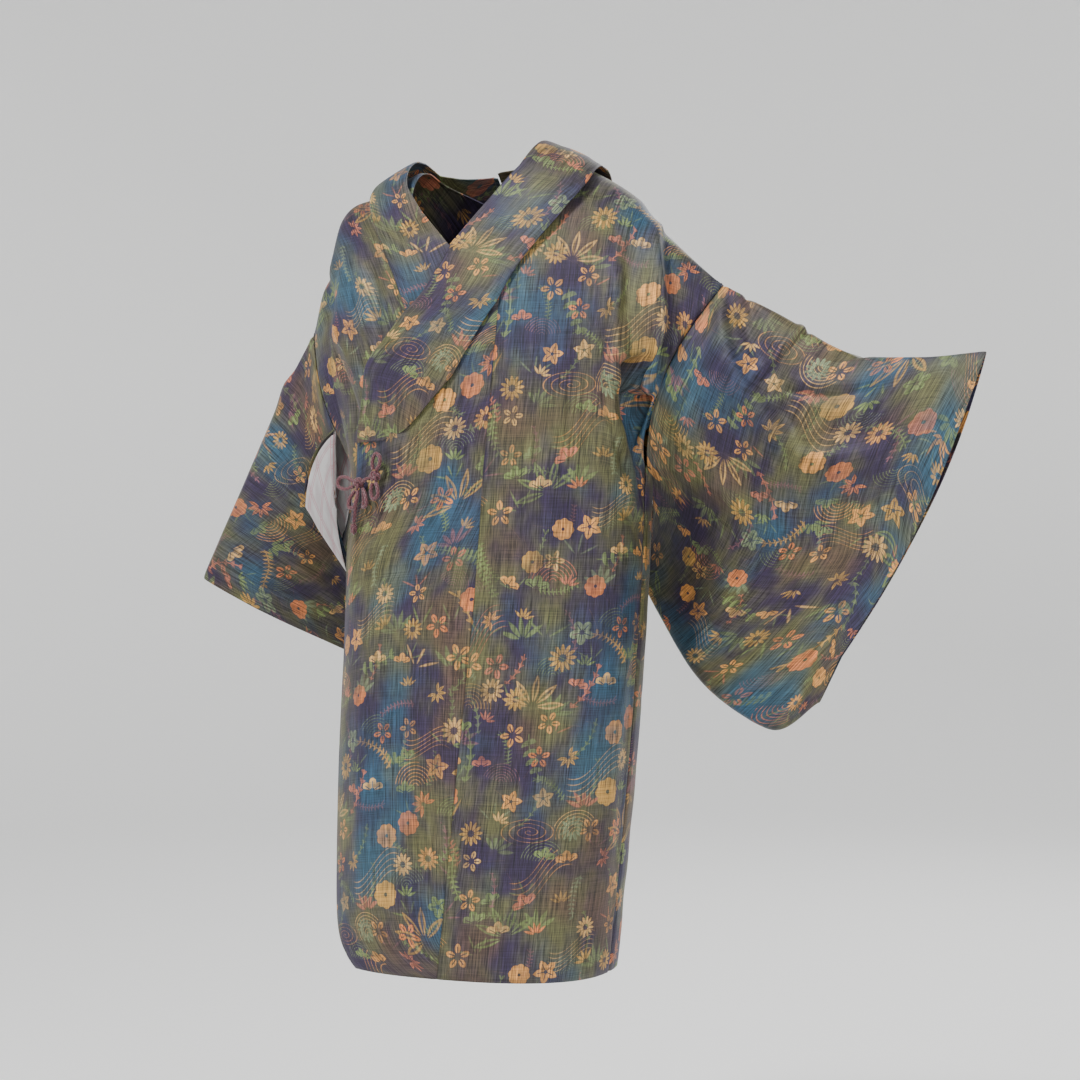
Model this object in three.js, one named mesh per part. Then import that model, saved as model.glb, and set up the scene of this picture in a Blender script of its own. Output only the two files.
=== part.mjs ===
// A kimono coat (dochugi) with a shawl collar, hollow, in its worn form.
// Millimetres, +Z up. The origin is the middle of the shoulder line at the neck. The front faces -Y and the
// wearer's left is +X. The left front laps over the right one and is tied at the wearer's right side.
//
// The cloth follows one form, the torso: a point of it is found from a column and a level. The column runs
// from -1 at the wearer's right side over 0 at the middle to 1 at the left side. The level runs from 0 at the
// hem over 1 at the armpit to 2 at the shoulder ridge. Each panel is a stretch of columns and levels.
// A body panel is one cloth folded over the shoulder, and a sleeve one cloth folded along its top edge. The
// body panels and the left sleeve are each two walls that meet at the fold, a front one and a back one.
import * as THREE from "three";

// Driving dimensions
const WALL = 2;
const SEAM_GAP = 0.3;
const FOLD_GAP = 0.2;
const HEM_Z = -928;
const ARMPIT_Z = -350;
const SECTION_ROUNDNESS = 2.5;
const NECK_HALF_WIDTH = 72;
const NECK_COLUMN = 0.12;
const LEFT_SHOULDER_REACH = 292;
const RIGHT_SHOULDER_REACH = 226;
const ARMHOLE_HALF_DEPTH = 40;
const UNDERLAY = 9;
const CORD_RADIUS = 2.2;

// The torso's level sections below the armpit, from the hem up.
const SECTIONS = [
  { z: -928, left: 172, right: 150, front: 116, back: 120, middleX: -18, middleY: 6 },
  { z: -700, left: 188, right: 160, front: 116, back: 120, middleX: -10, middleY: 6 },
  { z: -500, left: 196, right: 164, front: 114, back: 116, middleX: -2, middleY: 4 },
  { z: -350, left: 200, right: 172, front: 114, back: 112, middleX: 2, middleY: 0 },
];

// The shoulder ridge on each side, from the neck out.
const LEFT_RIDGE = [
  { x: 0, z: 20 },
  { x: 72, z: 18 },
  { x: 135, z: -8 },
  { x: 194, z: -44 },
  { x: 214, z: -76 },
  { x: 292, z: -146 },
];
const RIGHT_RIDGE = [
  { x: 0, z: 14 },
  { x: 72, z: 4 },
  { x: 136, z: -22 },
  { x: 180, z: -44 },
  { x: 204, z: -112 },
  { x: 226, z: -184 },
];

// The left overlap's free edge, as the column that it reaches at each level.
const LAP_EDGE = [
  { level: 0, column: -0.46 },
  { level: 0.03, column: -0.6 },
  { level: 0.06, column: -0.69 },
  { level: 0.1, column: -0.74 },
  { level: 0.17, column: -0.77 },
  { level: 0.7, column: -0.78 },
  { level: 0.82, column: -0.7 },
  { level: 0.95, column: -0.5 },
  { level: 1.09, column: -0.45 },
  { level: 1.22, column: -0.38 },
  { level: 1.36, column: -0.33 },
  { level: 1.44, column: -0.19 },
  { level: 1.53, column: -0.07 },
  { level: 1.7, column: 0.02 },
  { level: 1.8, column: 0.08 },
];

// The overlap seam on the left front, as its column at each level.
const OVERLAP_SEAM = [
  { level: 0, column: 0.01 },
  { level: 0.4, column: 0.045 },
  { level: 1, column: 0.1 },
  { level: 1.3, column: 0.12 },
  { level: 2, column: 0.125 },
];

// The shawl collar from the back of the neck to its tip: the fold line and the outer edge. A negative column is
// over the other front. The reach is the level in front, and 4 less the level behind the ridge.
const COLLAR = [
  { foldColumn: 0, foldReach: 2.05, edgeColumn: 0, edgeReach: 2.32, lift: 8 },
  { foldColumn: 0.09, foldReach: 2.04, edgeColumn: 0.24, edgeReach: 2.26, lift: 12 },
  { foldColumn: 0.14, foldReach: 1.99, edgeColumn: 0.41, edgeReach: 2, lift: 15 },
  { foldColumn: 0.09, foldReach: 1.84, edgeColumn: 0.34, edgeReach: 1.82, lift: 12 },
  { foldColumn: 0.01, foldReach: 1.7, edgeColumn: 0.19, edgeReach: 1.62, lift: 7 },
  { foldColumn: -0.07, foldReach: 1.54, edgeColumn: 0.11, edgeReach: 1.48, lift: 6 },
  { foldColumn: -0.21, foldReach: 1.43, edgeColumn: 0.05, edgeReach: 1.36, lift: 6 },
  { foldColumn: -0.34, foldReach: 1.35, edgeColumn: -0.01, edgeReach: 1.24, lift: 6 },
  { foldColumn: -0.38, foldReach: 1.24, edgeColumn: -0.12, edgeReach: 1.13, lift: 5 },
  { foldColumn: -0.44, foldReach: 1.09, edgeColumn: -0.25, edgeReach: 1.09, lift: 3.6 },
];
const RIGHT_COLLAR_END = 0.72;
const RIGHT_COLLAR_LIFT = 3.3;
const UNDERLAP_SHARE = 0.8;

// Each sleeve from the armhole to the cuff: the fold along its top, its lower edge, and half the distance
// between its layers at the arm and below it.
const LEFT_SLEEVE = [
  { topX: 292, topY: 0, topZ: -146, lowX: 120, lowY: 152, lowZ: -440, arm: 42, bag: 12 },
  { topX: 368, topY: 0, topZ: -188, lowX: 174, lowY: 124, lowZ: -520, arm: 40, bag: 14 },
  { topX: 440, topY: 0, topZ: -228, lowX: 236, lowY: 86, lowZ: -594, arm: 36, bag: 14 },
  { topX: 512, topY: 0, topZ: -234, lowX: 308, lowY: 55, lowZ: -638, arm: 26, bag: 12 },
  { topX: 586, topY: 0, topZ: -230, lowX: 374, lowY: 30, lowZ: -656, arm: 20, bag: 9 },
];
const RIGHT_SLEEVE = [
  { topX: -226, topY: 0, topZ: -184, lowX: -276, lowY: 100, lowZ: -517, arm: 36, bag: 14 },
  { topX: -266, topY: 4, topZ: -250, lowX: -232, lowY: 158, lowZ: -562, arm: 38, bag: 14 },
  { topX: -306, topY: 8, topZ: -322, lowX: -186, lowY: 210, lowZ: -606, arm: 36, bag: 14 },
  { topX: -350, topY: 14, topZ: -400, lowX: -138, lowY: 258, lowZ: -646, arm: 28, bag: 12 },
  { topX: -392, topY: 20, topZ: -479, lowX: -90, lowY: 300, lowZ: -682, arm: 20, bag: 9 },
];
// The inner edges of each sleeve below its armhole, as the middle point of each layer's edge.
const LEFT_INNER_EDGE = { low: 1, front: [166, 118, -418], back: [184, 138, -402] };
const RIGHT_INNER_EDGE = { low: 1.3, front: [-248, 17, -376], back: [-216, 72, -408] };
const LEFT_FACING = new THREE.Vector3(0.1, -0.99, 0).normalize();
const RIGHT_FACING = new THREE.Vector3(0.54, -0.77, -0.33).normalize();
const ARMHOLE_SHARE = 0.47;
const FRONT_CLEARANCE = 5;
const BACK_CLEARANCE = 9;
const ARMHOLE_GAP = 1.2;
const ARMPIT_CLEARANCE = 18;
const CORNER_SHARE = 0.1;
const CUFF_BULGE = 18;
const FOLD_DEPTH = 0.16;
const LINING_REACH = 0.5;
const LINING_TOP = 0.2;
const LINING_END = 0.74;
const FACING_REACH = 0.3;
const FACING_START = 0.76;
const FACING_END = 0.84;
const LINING_LIFT = 3.5;

// A smooth reading of a table: the value of a column of it where another column has the given value.
function read(rows, along, value, name) {
  let i = 0;
  while (i < rows.length - 2 && value > rows[i + 1][along]) i += 1;
  const slope = (k) => {
    const before = rows[Math.max(k - 1, 0)];
    const after = rows[Math.min(k + 1, rows.length - 1)];
    return (after[name] - before[name]) / (after[along] - before[along]);
  };
  const span = rows[i + 1][along] - rows[i][along];
  const t = Math.min(Math.max((value - rows[i][along]) / span, 0), 1);
  const rise = rows[i + 1][name] - rows[i][name];
  const bent = t * (1 - t) * (span * (slope(i) * (1 - t) - slope(i + 1) * t) + rise * (2 * t - 1));
  return rows[i][name] + rise * t + bent;
}

// The same where the rows are evenly numbered from 0 to 1.
function course(rows, fraction, name) {
  const at = Math.min(Math.max(fraction, 0), 1) * (rows.length - 1);
  const i = Math.min(Math.floor(at), rows.length - 2);
  const t = at - i;
  const before = rows[Math.max(i - 1, 0)][name];
  const from = rows[i][name];
  const to = rows[i + 1][name];
  const after = rows[Math.min(i + 2, rows.length - 1)][name];
  const bend = 2 * before - 5 * from + 4 * to - after;
  return from + 0.5 * t * (to - before + t * (bend + t * (3 * (from - to) + after - before)));
}

const mix = (a, b, t) => a + (b - a) * t;
const bump = (value, middle, spread) => Math.exp(-(((value - middle) / spread) ** 2));

// A point on a torso section. The angle is 0 at the middle of the front and 90 degrees at the left side.
function sectionPoint(degrees, z) {
  const angle = THREE.MathUtils.degToRad(degrees);
  const sine = Math.sin(angle);
  const cosine = Math.cos(angle);
  const power = 2 / SECTION_ROUNDNESS;
  const width = read(SECTIONS, "z", z, sine > 0 ? "left" : "right");
  const depth = read(SECTIONS, "z", z, cosine > 0 ? "front" : "back");
  return new THREE.Vector3(
    read(SECTIONS, "z", z, "middleX") + width * Math.sign(sine) * Math.abs(sine) ** power,
    read(SECTIONS, "z", z, "middleY") - depth * Math.sign(cosine) * Math.abs(cosine) ** power,
    z,
  );
}

// The shoulder ridge at a column: its reach from the middle and its height.
function ridgePoint(column) {
  const side = Math.abs(column);
  const reach = column > 0 ? LEFT_SHOULDER_REACH : RIGHT_SHOULDER_REACH;
  const outer = (side - NECK_COLUMN) / (1 - NECK_COLUMN);
  const x = outer < 0 ? (NECK_HALF_WIDTH * side) / NECK_COLUMN : mix(NECK_HALF_WIDTH, reach, outer);
  const height = read(column > 0 ? LEFT_RIDGE : RIGHT_RIDGE, "x", x, "z");
  return new THREE.Vector3(Math.sign(column) * x, 0, height);
}

// The torso's surface. face is 1 in front and -1 behind.
function torso(column, level, face) {
  const degrees = face > 0 ? 90 * column : 180 - 90 * column;
  if (level <= 1) {
    return sectionPoint(degrees, mix(HEM_Z, ARMPIT_Z, level));
  }
  const rise = level - 1;
  const from = sectionPoint(degrees, ARMPIT_Z);
  const ridge = ridgePoint(column);
  const armhole = ARMHOLE_HALF_DEPTH * Math.sin(Math.PI * rise) * Math.abs(column) ** 3;
  const fold = column > 0 ? 20 * bump(column, 0.74, 0.1) * bump(rise, 0.3, 0.3) : 0;
  const tuck = column > 0 ? 16 * bump(column, 0.88, 0.07) * bump(rise, 0.3, 0.3) : 0;
  return new THREE.Vector3(
    mix(from.x, ridge.x, rise ** 1.4),
    from.y * Math.sqrt(Math.max(1 - rise ** 3, 0)) - face * (armhole + fold - tuck),
    mix(ARMPIT_Z, ridge.z, rise),
  );
}

// Cloth as a closed wall: a grid of points from two fractions, the same grid one wall further in, and rims.
// Only the rows between the first and the last are built. A row inside the grid is a fold, and there the wall
// ends half a gap short of it.
function cloth(name, material, columns, rows, point, first = 0, last = rows) {
  const grid = [];
  for (let j = 0; j <= rows; j += 1) {
    for (let i = 0; i <= columns; i += 1) grid.push(point(i / columns, j / rows));
  }
  const at = (i, j) => grid[j * (columns + 1) + i];
  const positions = [];
  const inner = [];
  for (let j = first; j <= last; j += 1) {
    for (let i = 0; i <= columns; i += 1) {
      const across = at(Math.min(i + 1, columns), j).clone().sub(at(Math.max(i - 1, 0), j));
      const along = at(i, Math.min(j + 1, rows)).clone().sub(at(i, Math.max(j - 1, 0)));
      const normal = across.cross(along.clone()).normalize();
      const place = at(i, j).clone();
      if (j === first && first > 0) place.addScaledVector(along.normalize(), FOLD_GAP);
      if (j === last && last < rows) place.addScaledVector(along.normalize(), -FOLD_GAP);
      positions.push(...place.toArray());
      inner.push(...place.addScaledVector(normal, -WALL).toArray());
    }
  }
  const count = positions.length / 3;
  const length = last - first;
  const faces = [];
  const quad = (a, b, c, d) => faces.push(a, b, c, a, c, d);
  const index = (i, j) => j * (columns + 1) + i;
  for (let j = 0; j < length; j += 1) {
    for (let i = 0; i < columns; i += 1) {
      const corners = [index(i, j), index(i + 1, j), index(i + 1, j + 1), index(i, j + 1)];
      quad(...corners);
      quad(...corners.reverse().map((corner) => corner + count));
    }
  }
  const rim = [];
  for (let i = 0; i < columns; i += 1) rim.push(index(i, 0));
  for (let j = 0; j < length; j += 1) rim.push(index(columns, j));
  for (let i = columns; i > 0; i -= 1) rim.push(index(i, length));
  for (let j = length; j > 0; j -= 1) rim.push(index(0, j));
  rim.forEach((corner, k) => {
    const next = rim[(k + 1) % rim.length];
    quad(next, corner, corner + count, next + count);
  });
  const geometry = new THREE.BufferGeometry();
  geometry.setAttribute("position", new THREE.Float32BufferAttribute([...positions, ...inner], 3));
  geometry.setIndex(faces);
  geometry.computeVertexNormals();
  const mesh = new THREE.Mesh(geometry, material);
  mesh.name = name;
  return mesh;
}

// A cloth folded at its middle row, as its two walls: the first half of its rows and the second.
function folded(firstName, secondName, columns, rows, point) {
  const middle = rows / 2;
  return [
    cloth(firstName, OUTER_CLOTH, columns, rows, point, 0, middle),
    cloth(secondName, OUTER_CLOTH, columns, rows, point, middle, rows),
  ];
}

const OUTER_CLOTH = new THREE.MeshStandardMaterial({ color: 0x4a4338, roughness: 0.7, metalness: 0 });
const LINING = new THREE.MeshStandardMaterial({ color: 0xcfc8cc, roughness: 0.6, metalness: 0 });
const CORD = new THREE.MeshStandardMaterial({ color: 0x5a2830, roughness: 0.5, metalness: 0 });


const smooth = (t) => {
  const held = Math.min(Math.max(t, 0), 1);
  return held * held * (3 - 2 * held);
};

// A torso point moved out along the surface's normal.
function lifted(column, reach, distance) {
  const at = (c, r) => (r > 2 ? torso(c, 4 - r, -1) : torso(c, r, 1));
  const step = 0.01;
  const back = reach > 2 - step ? reach - step : reach;
  const across = at(column + step, reach).sub(at(column - step, reach));
  const along = at(column, back + step).sub(at(column, back - step));
  return at(column, reach).addScaledVector(across.cross(along).normalize(), distance);
}

// How far the right front lies under the left one.
function underlay(column, reach) {
  const inFront = 1 - smooth((reach - 1.8) / 0.15);
  return -UNDERLAY * Math.min(1, (1 - Math.abs(column)) / 0.12) * inFront;
}

// The reach along a body panel, from the front hem over the ridge to the back hem. Its steps are short at the
// ridge.
function panelReach(fraction) {
  const half = fraction <= 0.5 ? fraction * 2 : (1 - fraction) * 2;
  const level = half < 0.5 ? half * 2 : 1 + Math.sin((half - 0.5) * Math.PI);
  return fraction <= 0.5 ? level : 4 - level;
}

// A body panel's inner column: the overlap seam in front, the centre seam behind and the neck at the ridge.
function innerColumn(reach) {
  if (reach <= 2) return read(OVERLAP_SEAM, "level", reach, "column") + SEAM_COLUMN;
  return mix(CENTRE_SEAM_COLUMN, NECK_COLUMN, smooth((4 - reach - 1.82) / 0.18));
}

// Half the space between two panels at a seam, in columns: at an overlap seam and at the centre seam. The
// side column is where a body panel ends at the side seam.
const SEAM_COLUMN = 0.0008;
const CENTRE_SEAM_COLUMN = 0.0003;
const SIDE_COLUMN = 0.999;
const bodyLeft = folded("body_left_front", "body_left_back", 10, 30, (u, v) => {
  const reach = panelReach(v);
  return lifted(mix(innerColumn(reach), SIDE_COLUMN, u), reach, 0);
});
const bodyRight = folded("body_right_front", "body_right_back", 10, 30, (u, v) => {
  const reach = panelReach(v);
  const column = -mix(SIDE_COLUMN, innerColumn(reach), u);
  return lifted(column, reach, reach < 2 ? underlay(column, reach) : 0);
});

const OVERLAP_TOP = 1.74;
// The left overlap swings clear of the body towards its hem.
const lapFlare = (column, level) => 16 * Math.max(0, (-column - 0.35) / 0.45) ** 2 * Math.max(0, 0.9 - level);
const overlapLeft = cloth("overlap_left", OUTER_CLOTH, 9, 20, (u, v) => {
  const level = v * OVERLAP_TOP;
  const seam = read(OVERLAP_SEAM, "level", level, "column") - SEAM_COLUMN;
  const column = mix(read(LAP_EDGE, "level", level, "column"), seam, u);
  return lifted(column, level, lapFlare(column, level));
});
const overlapRight = cloth("overlap_right", OUTER_CLOTH, 9, 20, (u, v) => {
  const level = v * OVERLAP_TOP;
  const seam = read(OVERLAP_SEAM, "level", level, "column") - SEAM_COLUMN;
  const column = mix(-seam, -UNDERLAP_SHARE * read(LAP_EDGE, "level", level, "column"), u);
  return lifted(column, level, underlay(column, level));
});

// A collar half. ground gives what it lies on, and end is how much of its length is there.
function collarPoint(side, end, ground) {
  return (u, v) => {
    const along = mix(end, 0, v);
    const across = side > 0 ? u : 1 - u;
    const between = (fold, edge) => mix(course(COLLAR, along, fold), course(COLLAR, along, edge), across);
    const column = side * between("foldColumn", "edgeColumn");
    const reach = between("foldReach", "edgeReach");
    const covered = side < 0 ? mix(RIGHT_COLLAR_LIFT, 20, smooth((reach - 1.74) / 0.15)) : 20;
    const lift = Math.min(course(COLLAR, along, "lift") * (1 - 0.2 * across), covered);
    return lifted(column + side * SEAM_COLUMN, reach, lift + ground(column, reach));
  };
}
const collarLeft = cloth("collar_left", OUTER_CLOTH, 5, 27, collarPoint(1, 1, () => 0));
const collarRight = cloth("collar_right", OUTER_CLOTH, 5, 20, collarPoint(-1, RIGHT_COLLAR_END, underlay));

// A sleeve point. across runs from the armhole to the cuff, and down from -1 at the back layer's lower edge
// over 0 at the top fold to 1 at the front layer's lower edge.
function sleevePoint(side, across, down) {
  const rows = side > 0 ? LEFT_SLEEVE : RIGHT_SLEEVE;
  const facing = side > 0 ? LEFT_FACING : RIGHT_FACING;
  const inner = side > 0 ? LEFT_INNER_EDGE : RIGHT_INNER_EDGE;
  const face = down < 0 ? -1 : 1;
  const depth = Math.abs(down);
  const hung = (s) => {
    const top = new THREE.Vector3(course(rows, s, "topX"), course(rows, s, "topY"), course(rows, s, "topZ"));
    const low = new THREE.Vector3(course(rows, s, "lowX"), course(rows, s, "lowY"), course(rows, s, "lowZ"));
    const corner = 1 - CORNER_SHARE * smooth((s - 0.8) / 0.2) ** 2 * depth ** 6;
    const opening = Math.sqrt(Math.min(depth / FOLD_DEPTH, 1));
    const space = opening * mix(course(rows, s, "arm"), course(rows, s, "bag"), smooth((depth - 0.2) / 0.3));
    const apart = Math.max(space * Math.sqrt(1 - depth ** 8), SEAM_GAP);
    const bulge = side > 0 ? CUFF_BULGE * s * s * Math.sin(Math.PI * Math.min(depth / 0.8, 1)) : 0;
    const point = top.lerp(low, depth * corner).addScaledVector(facing, face * apart);
    return point.setX(point.x + bulge);
  };
  const edge = innerEdge(side, inner, face, depth);
  const point = hung(across).add(edge.sub(hung(0)).multiplyScalar((1 - across) ** 3));
  return clearOfBody(point, face > 0 ? FRONT_CLEARANCE : BACK_CLEARANCE);
}

// Moves a point that lies in the body below the armpit out to a little off the body's surface.
function clearOfBody(point, least) {
  if (point.z > ARMPIT_Z) return point;
  const clearance = least + ARMPIT_CLEARANCE * Math.exp((point.z - ARMPIT_Z) / ARMPIT_CLEARANCE);
  const x = point.x - read(SECTIONS, "z", point.z, "middleX");
  const y = point.y - read(SECTIONS, "z", point.z, "middleY");
  const width = read(SECTIONS, "z", point.z, x > 0 ? "left" : "right") + clearance;
  const depth = read(SECTIONS, "z", point.z, y < 0 ? "front" : "back") + clearance;
  const share = Math.abs(x / width) ** SECTION_ROUNDNESS + Math.abs(y / depth) ** SECTION_ROUNDNESS;
  const scale = Math.max(1, share ** (-1 / SECTION_ROUNDNESS)) - 1;
  return point.add(new THREE.Vector3(x * scale, y * scale, 0));
}

// The sleeve's edge at the body: the armhole seam, then the free inner edge down to the lower corner.
function innerEdge(side, inner, face, depth) {
  if (depth <= ARMHOLE_SHARE) {
    const level = mix(2, inner.low, depth / ARMHOLE_SHARE);
    const point = torso(side, level, face);
    return point.setX(point.x + side * ARMHOLE_GAP);
  }
  const t = (depth - ARMHOLE_SHARE) / (1 - ARMHOLE_SHARE);
  const start = torso(side, inner.low, face);
  start.x += side * ARMHOLE_GAP;
  const middle = new THREE.Vector3(...(face > 0 ? inner.front : inner.back));
  const rows = side > 0 ? LEFT_SLEEVE : RIGHT_SLEEVE;
  const end = new THREE.Vector3(rows[0].lowX, rows[0].lowY, rows[0].lowZ);
  end.addScaledVector(side > 0 ? LEFT_FACING : RIGHT_FACING, face * SEAM_GAP);
  start.multiplyScalar((1 - t) * (1 - 2 * t));
  return start.addScaledVector(middle, 4 * t * (1 - t)).addScaledVector(end, t * (2 * t - 1));
}
const sleeveLeft = folded("sleeve_left_back", "sleeve_left_front", 10, 30, (u, v) => {
  return sleevePoint(1, u, 2 * v - 1);
});
const sleeveRight = cloth("sleeve_right", OUTER_CLOTH, 10, 30, (u, v) => sleevePoint(-1, 1 - u, 2 * v - 1));

// What shows inside the right sleeve: its lining, and the band of outer cloth at the lower end of its inner
// edge.
function insideSleeve(reach, upper, lower) {
  const step = 0.01;
  return (u, v) => {
    const across = mix(reach, 0.015, u);
    const down = -mix(lower, upper, v);
    const along = sleevePoint(-1, across, down + step).sub(sleevePoint(-1, across, down - step));
    const inner = sleevePoint(-1, across - step, down).sub(sleevePoint(-1, across + step, down));
    return sleevePoint(-1, across, down).addScaledVector(inner.cross(along).normalize(), LINING_LIFT);
  };
}
const insideLining = insideSleeve(LINING_REACH, LINING_TOP, LINING_END);
const sleeveLining = cloth("sleeve_right_lining", LINING, 8, 9, insideLining);
const insideFacing = insideSleeve(FACING_REACH, FACING_START, FACING_END);
const sleeveFacing = cloth("sleeve_right_facing", OUTER_CLOTH, 6, 6, insideFacing);

// The ties lie on the overlap in a frame of their own, which touches it at the bow: across, up and out.
const TIE_ACROSS = new THREE.Vector3(0.921, -0.39, 0);
const TIE_OUT = new THREE.Vector3(-0.39, -0.921, 0);
const TIE_MIDDLE = torso(-0.44, 0.97, 1);
function onTie([across, up, out]) {
  const place = TIE_MIDDLE.clone().addScaledVector(TIE_ACROSS, across).addScaledVector(TIE_OUT, out);
  return place.setZ(TIE_MIDDLE.z + up);
}

const KNOTS = [
  { name: "tie_bow_knot", at: [7, 0, 7], size: [7, 8, 6] },
  { name: "tie_ornament_knot", at: [34, 8, 5.6], size: [8, 7, 5.5] },
  { name: "tie_tail_end", at: [-4, -52, 5], size: [4, 7, 4] },
];
const CORDS = [
  { name: "tie_link", route: [[14.6, 2, 7], [20, 5, 7.5], [25.6, 6, 6]] },
  {
    name: "tie_bow_loop_side",
    route: [[-0.3, 2.5, 8], [-10, 8, 12], [-20, 6, 14], [-21, -2, 14], [-12, -6, 12], [-0.3, -3, 8]],
  },
  {
    name: "tie_bow_loop_near",
    route: [[3.2, -7.8, 9], [-2, -18, 13], [-2, -27, 14], [5, -27, 12.5], [9, -17, 11.5], [8.8, -8.2, 9.5]],
  },
  {
    name: "tie_bow_loop_far",
    route: [[13.1, -5.8, 6], [20, -13, 8], [22, -23, 8], [15, -27, 6.5], [13, -18, 4.4], [11.6, -7.6, 4]],
  },
  {
    name: "tie_ornament_loop_up",
    route: [[31.5, 15.4, 6], [31, 25, 7], [37, 34, 6.5], [43, 30, 6], [41, 20, 5.5], [37, 15.2, 6]],
  },
  {
    name: "tie_ornament_loop_down",
    route: [[31.5, 0.6, 7], [30, -9, 8], [34, -18, 8], [41, -14, 7.5], [40, -5, 7], [37, 0.6, 7]],
  },
  { name: "tie_tail", route: [[2.8, -7.2, 4], [0, -20, 4.2], [-2.5, -32, 4.2], [-4, -44.6, 4.8]] },
];
const KNOT_TURNS = 10;
const KNOT_RINGS = 8;
const CORD_SIDES = 8;

function knot({ name, at, size }) {
  const [across, up, out] = size;
  const geometry = new THREE.SphereGeometry(1, KNOT_TURNS, KNOT_RINGS).scale(across, out, up);
  const mesh = new THREE.Mesh(geometry, CORD);
  mesh.name = name;
  mesh.position.copy(onTie(at));
  mesh.rotation.z = Math.atan2(TIE_ACROSS.y, TIE_ACROSS.x);
  return mesh;
}

function cord({ name, route }) {
  const curve = new THREE.CatmullRomCurve3(route.map(onTie));
  const section = new THREE.Shape().absarc(0, 0, CORD_RADIUS, 0, 2 * Math.PI);
  const steps = Math.max(3, Math.round(curve.getLength() / (3 * CORD_RADIUS)));
  const shape = { steps, curveSegments: CORD_SIDES, extrudePath: curve };
  const geometry = new THREE.ExtrudeGeometry(section, shape);
  const mesh = new THREE.Mesh(geometry, CORD);
  mesh.name = name;
  return mesh;
}

const coat = new THREE.Group();
coat.add(...bodyLeft, ...bodyRight, overlapLeft, overlapRight, collarLeft, collarRight);
coat.add(...sleeveLeft, sleeveRight);
coat.add(sleeveLining, sleeveFacing, ...KNOTS.map(knot), ...CORDS.map(cord));

export default coat;
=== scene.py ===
"""A kimono coat with a shawl collar in its worn form: patterned slub silk, a pale lining and braided ties."""

import math

import bpy
import numpy as np
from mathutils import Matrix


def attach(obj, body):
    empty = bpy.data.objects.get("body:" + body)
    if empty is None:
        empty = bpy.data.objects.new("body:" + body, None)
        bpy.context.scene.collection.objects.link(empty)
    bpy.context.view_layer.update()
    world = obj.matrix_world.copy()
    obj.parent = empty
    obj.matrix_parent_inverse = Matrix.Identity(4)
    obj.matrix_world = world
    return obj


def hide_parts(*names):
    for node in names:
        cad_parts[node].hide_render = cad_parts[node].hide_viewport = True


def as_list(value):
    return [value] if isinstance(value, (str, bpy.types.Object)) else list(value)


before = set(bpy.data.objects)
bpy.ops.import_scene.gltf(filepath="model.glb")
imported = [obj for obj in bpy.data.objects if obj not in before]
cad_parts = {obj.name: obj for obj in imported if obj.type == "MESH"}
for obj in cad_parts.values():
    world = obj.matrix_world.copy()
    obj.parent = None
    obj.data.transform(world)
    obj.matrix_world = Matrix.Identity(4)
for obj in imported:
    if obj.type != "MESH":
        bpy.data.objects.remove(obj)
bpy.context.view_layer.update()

MM = 0.001

# Sizes of the coat, in millimetres, columns and shares, mostly as the solids have them.
HEM_Z = -928
ARMPIT_Z = -350
SECTION_ROUNDNESS = 2.5
NECK_HALF_WIDTH = 72
NECK_COLUMN = 0.12
LEFT_SHOULDER_REACH = 292
RIGHT_SHOULDER_REACH = 226
ARMHOLE_HALF_DEPTH = 40
ARMHOLE_GAP = 1.2
ARMHOLE_SHARE = 0.47
UNDERLAY = 9
UNDERLAP_SHARE = 0.8
RIGHT_COLLAR_END = 0.72
RIGHT_COLLAR_LIFT = 3.3
SEAM_COLUMN = 0.0003
OVERLAP_COLUMN = 0.0008
SIDE_SEAM = 0.999
OVERLAP_TOP = 1.74
OVERLAP_FLARE = 16
CORNER_SHARE = 0.1
CUFF_BULGE = 18
FRONT_CLEARANCE = 5
BACK_CLEARANCE = 9
ARMPIT_CLEARANCE = 18
LEFT_CLEARANCE_SHARE = 0.2
SEAM_GAP = 0.3
TURNED_LIFT = 4.0
LINING_LIFT = 3.5
CLOTH_THICKNESS = 1.3
CORD_RADIUS = 2.2


def table(names, *rows):
    """A table with named columns, as arrays."""
    return dict(zip(names.split(), np.array(rows, float).T))


# The torso's level sections below the armpit, from the hem up.
SECTIONS = table(
    "z left right front back middle_x middle_y",
    (-928, 172, 150, 116, 120, -18, 6),
    (-700, 188, 160, 116, 120, -10, 6),
    (-500, 196, 164, 114, 116, -2, 4),
    (-350, 200, 172, 114, 112, 2, 0),
)
# The shoulder ridge on each side, from the neck out.
LEFT_RIDGE = table("x z", (0, 20), (72, 18), (135, -8), (194, -44), (214, -76), (292, -146))
RIGHT_RIDGE = table("x z", (0, 14), (72, 4), (136, -22), (180, -44), (204, -112), (226, -184))
# The left overlap's free edge and the overlap seam, as columns at each level.
LAP_EDGE = table(
    "level column",
    (0, -0.46), (0.03, -0.6), (0.06, -0.69), (0.1, -0.74), (0.17, -0.77), (0.7, -0.78), (0.82, -0.7),
    (0.95, -0.5), (1.09, -0.45), (1.22, -0.38), (1.36, -0.33), (1.44, -0.19), (1.53, -0.07), (1.7, 0.02),
    (1.8, 0.08),
)
OVERLAP_SEAM = table("level column", (0, 0.01), (0.4, 0.045), (1, 0.1), (1.3, 0.12), (2, 0.125))
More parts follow.
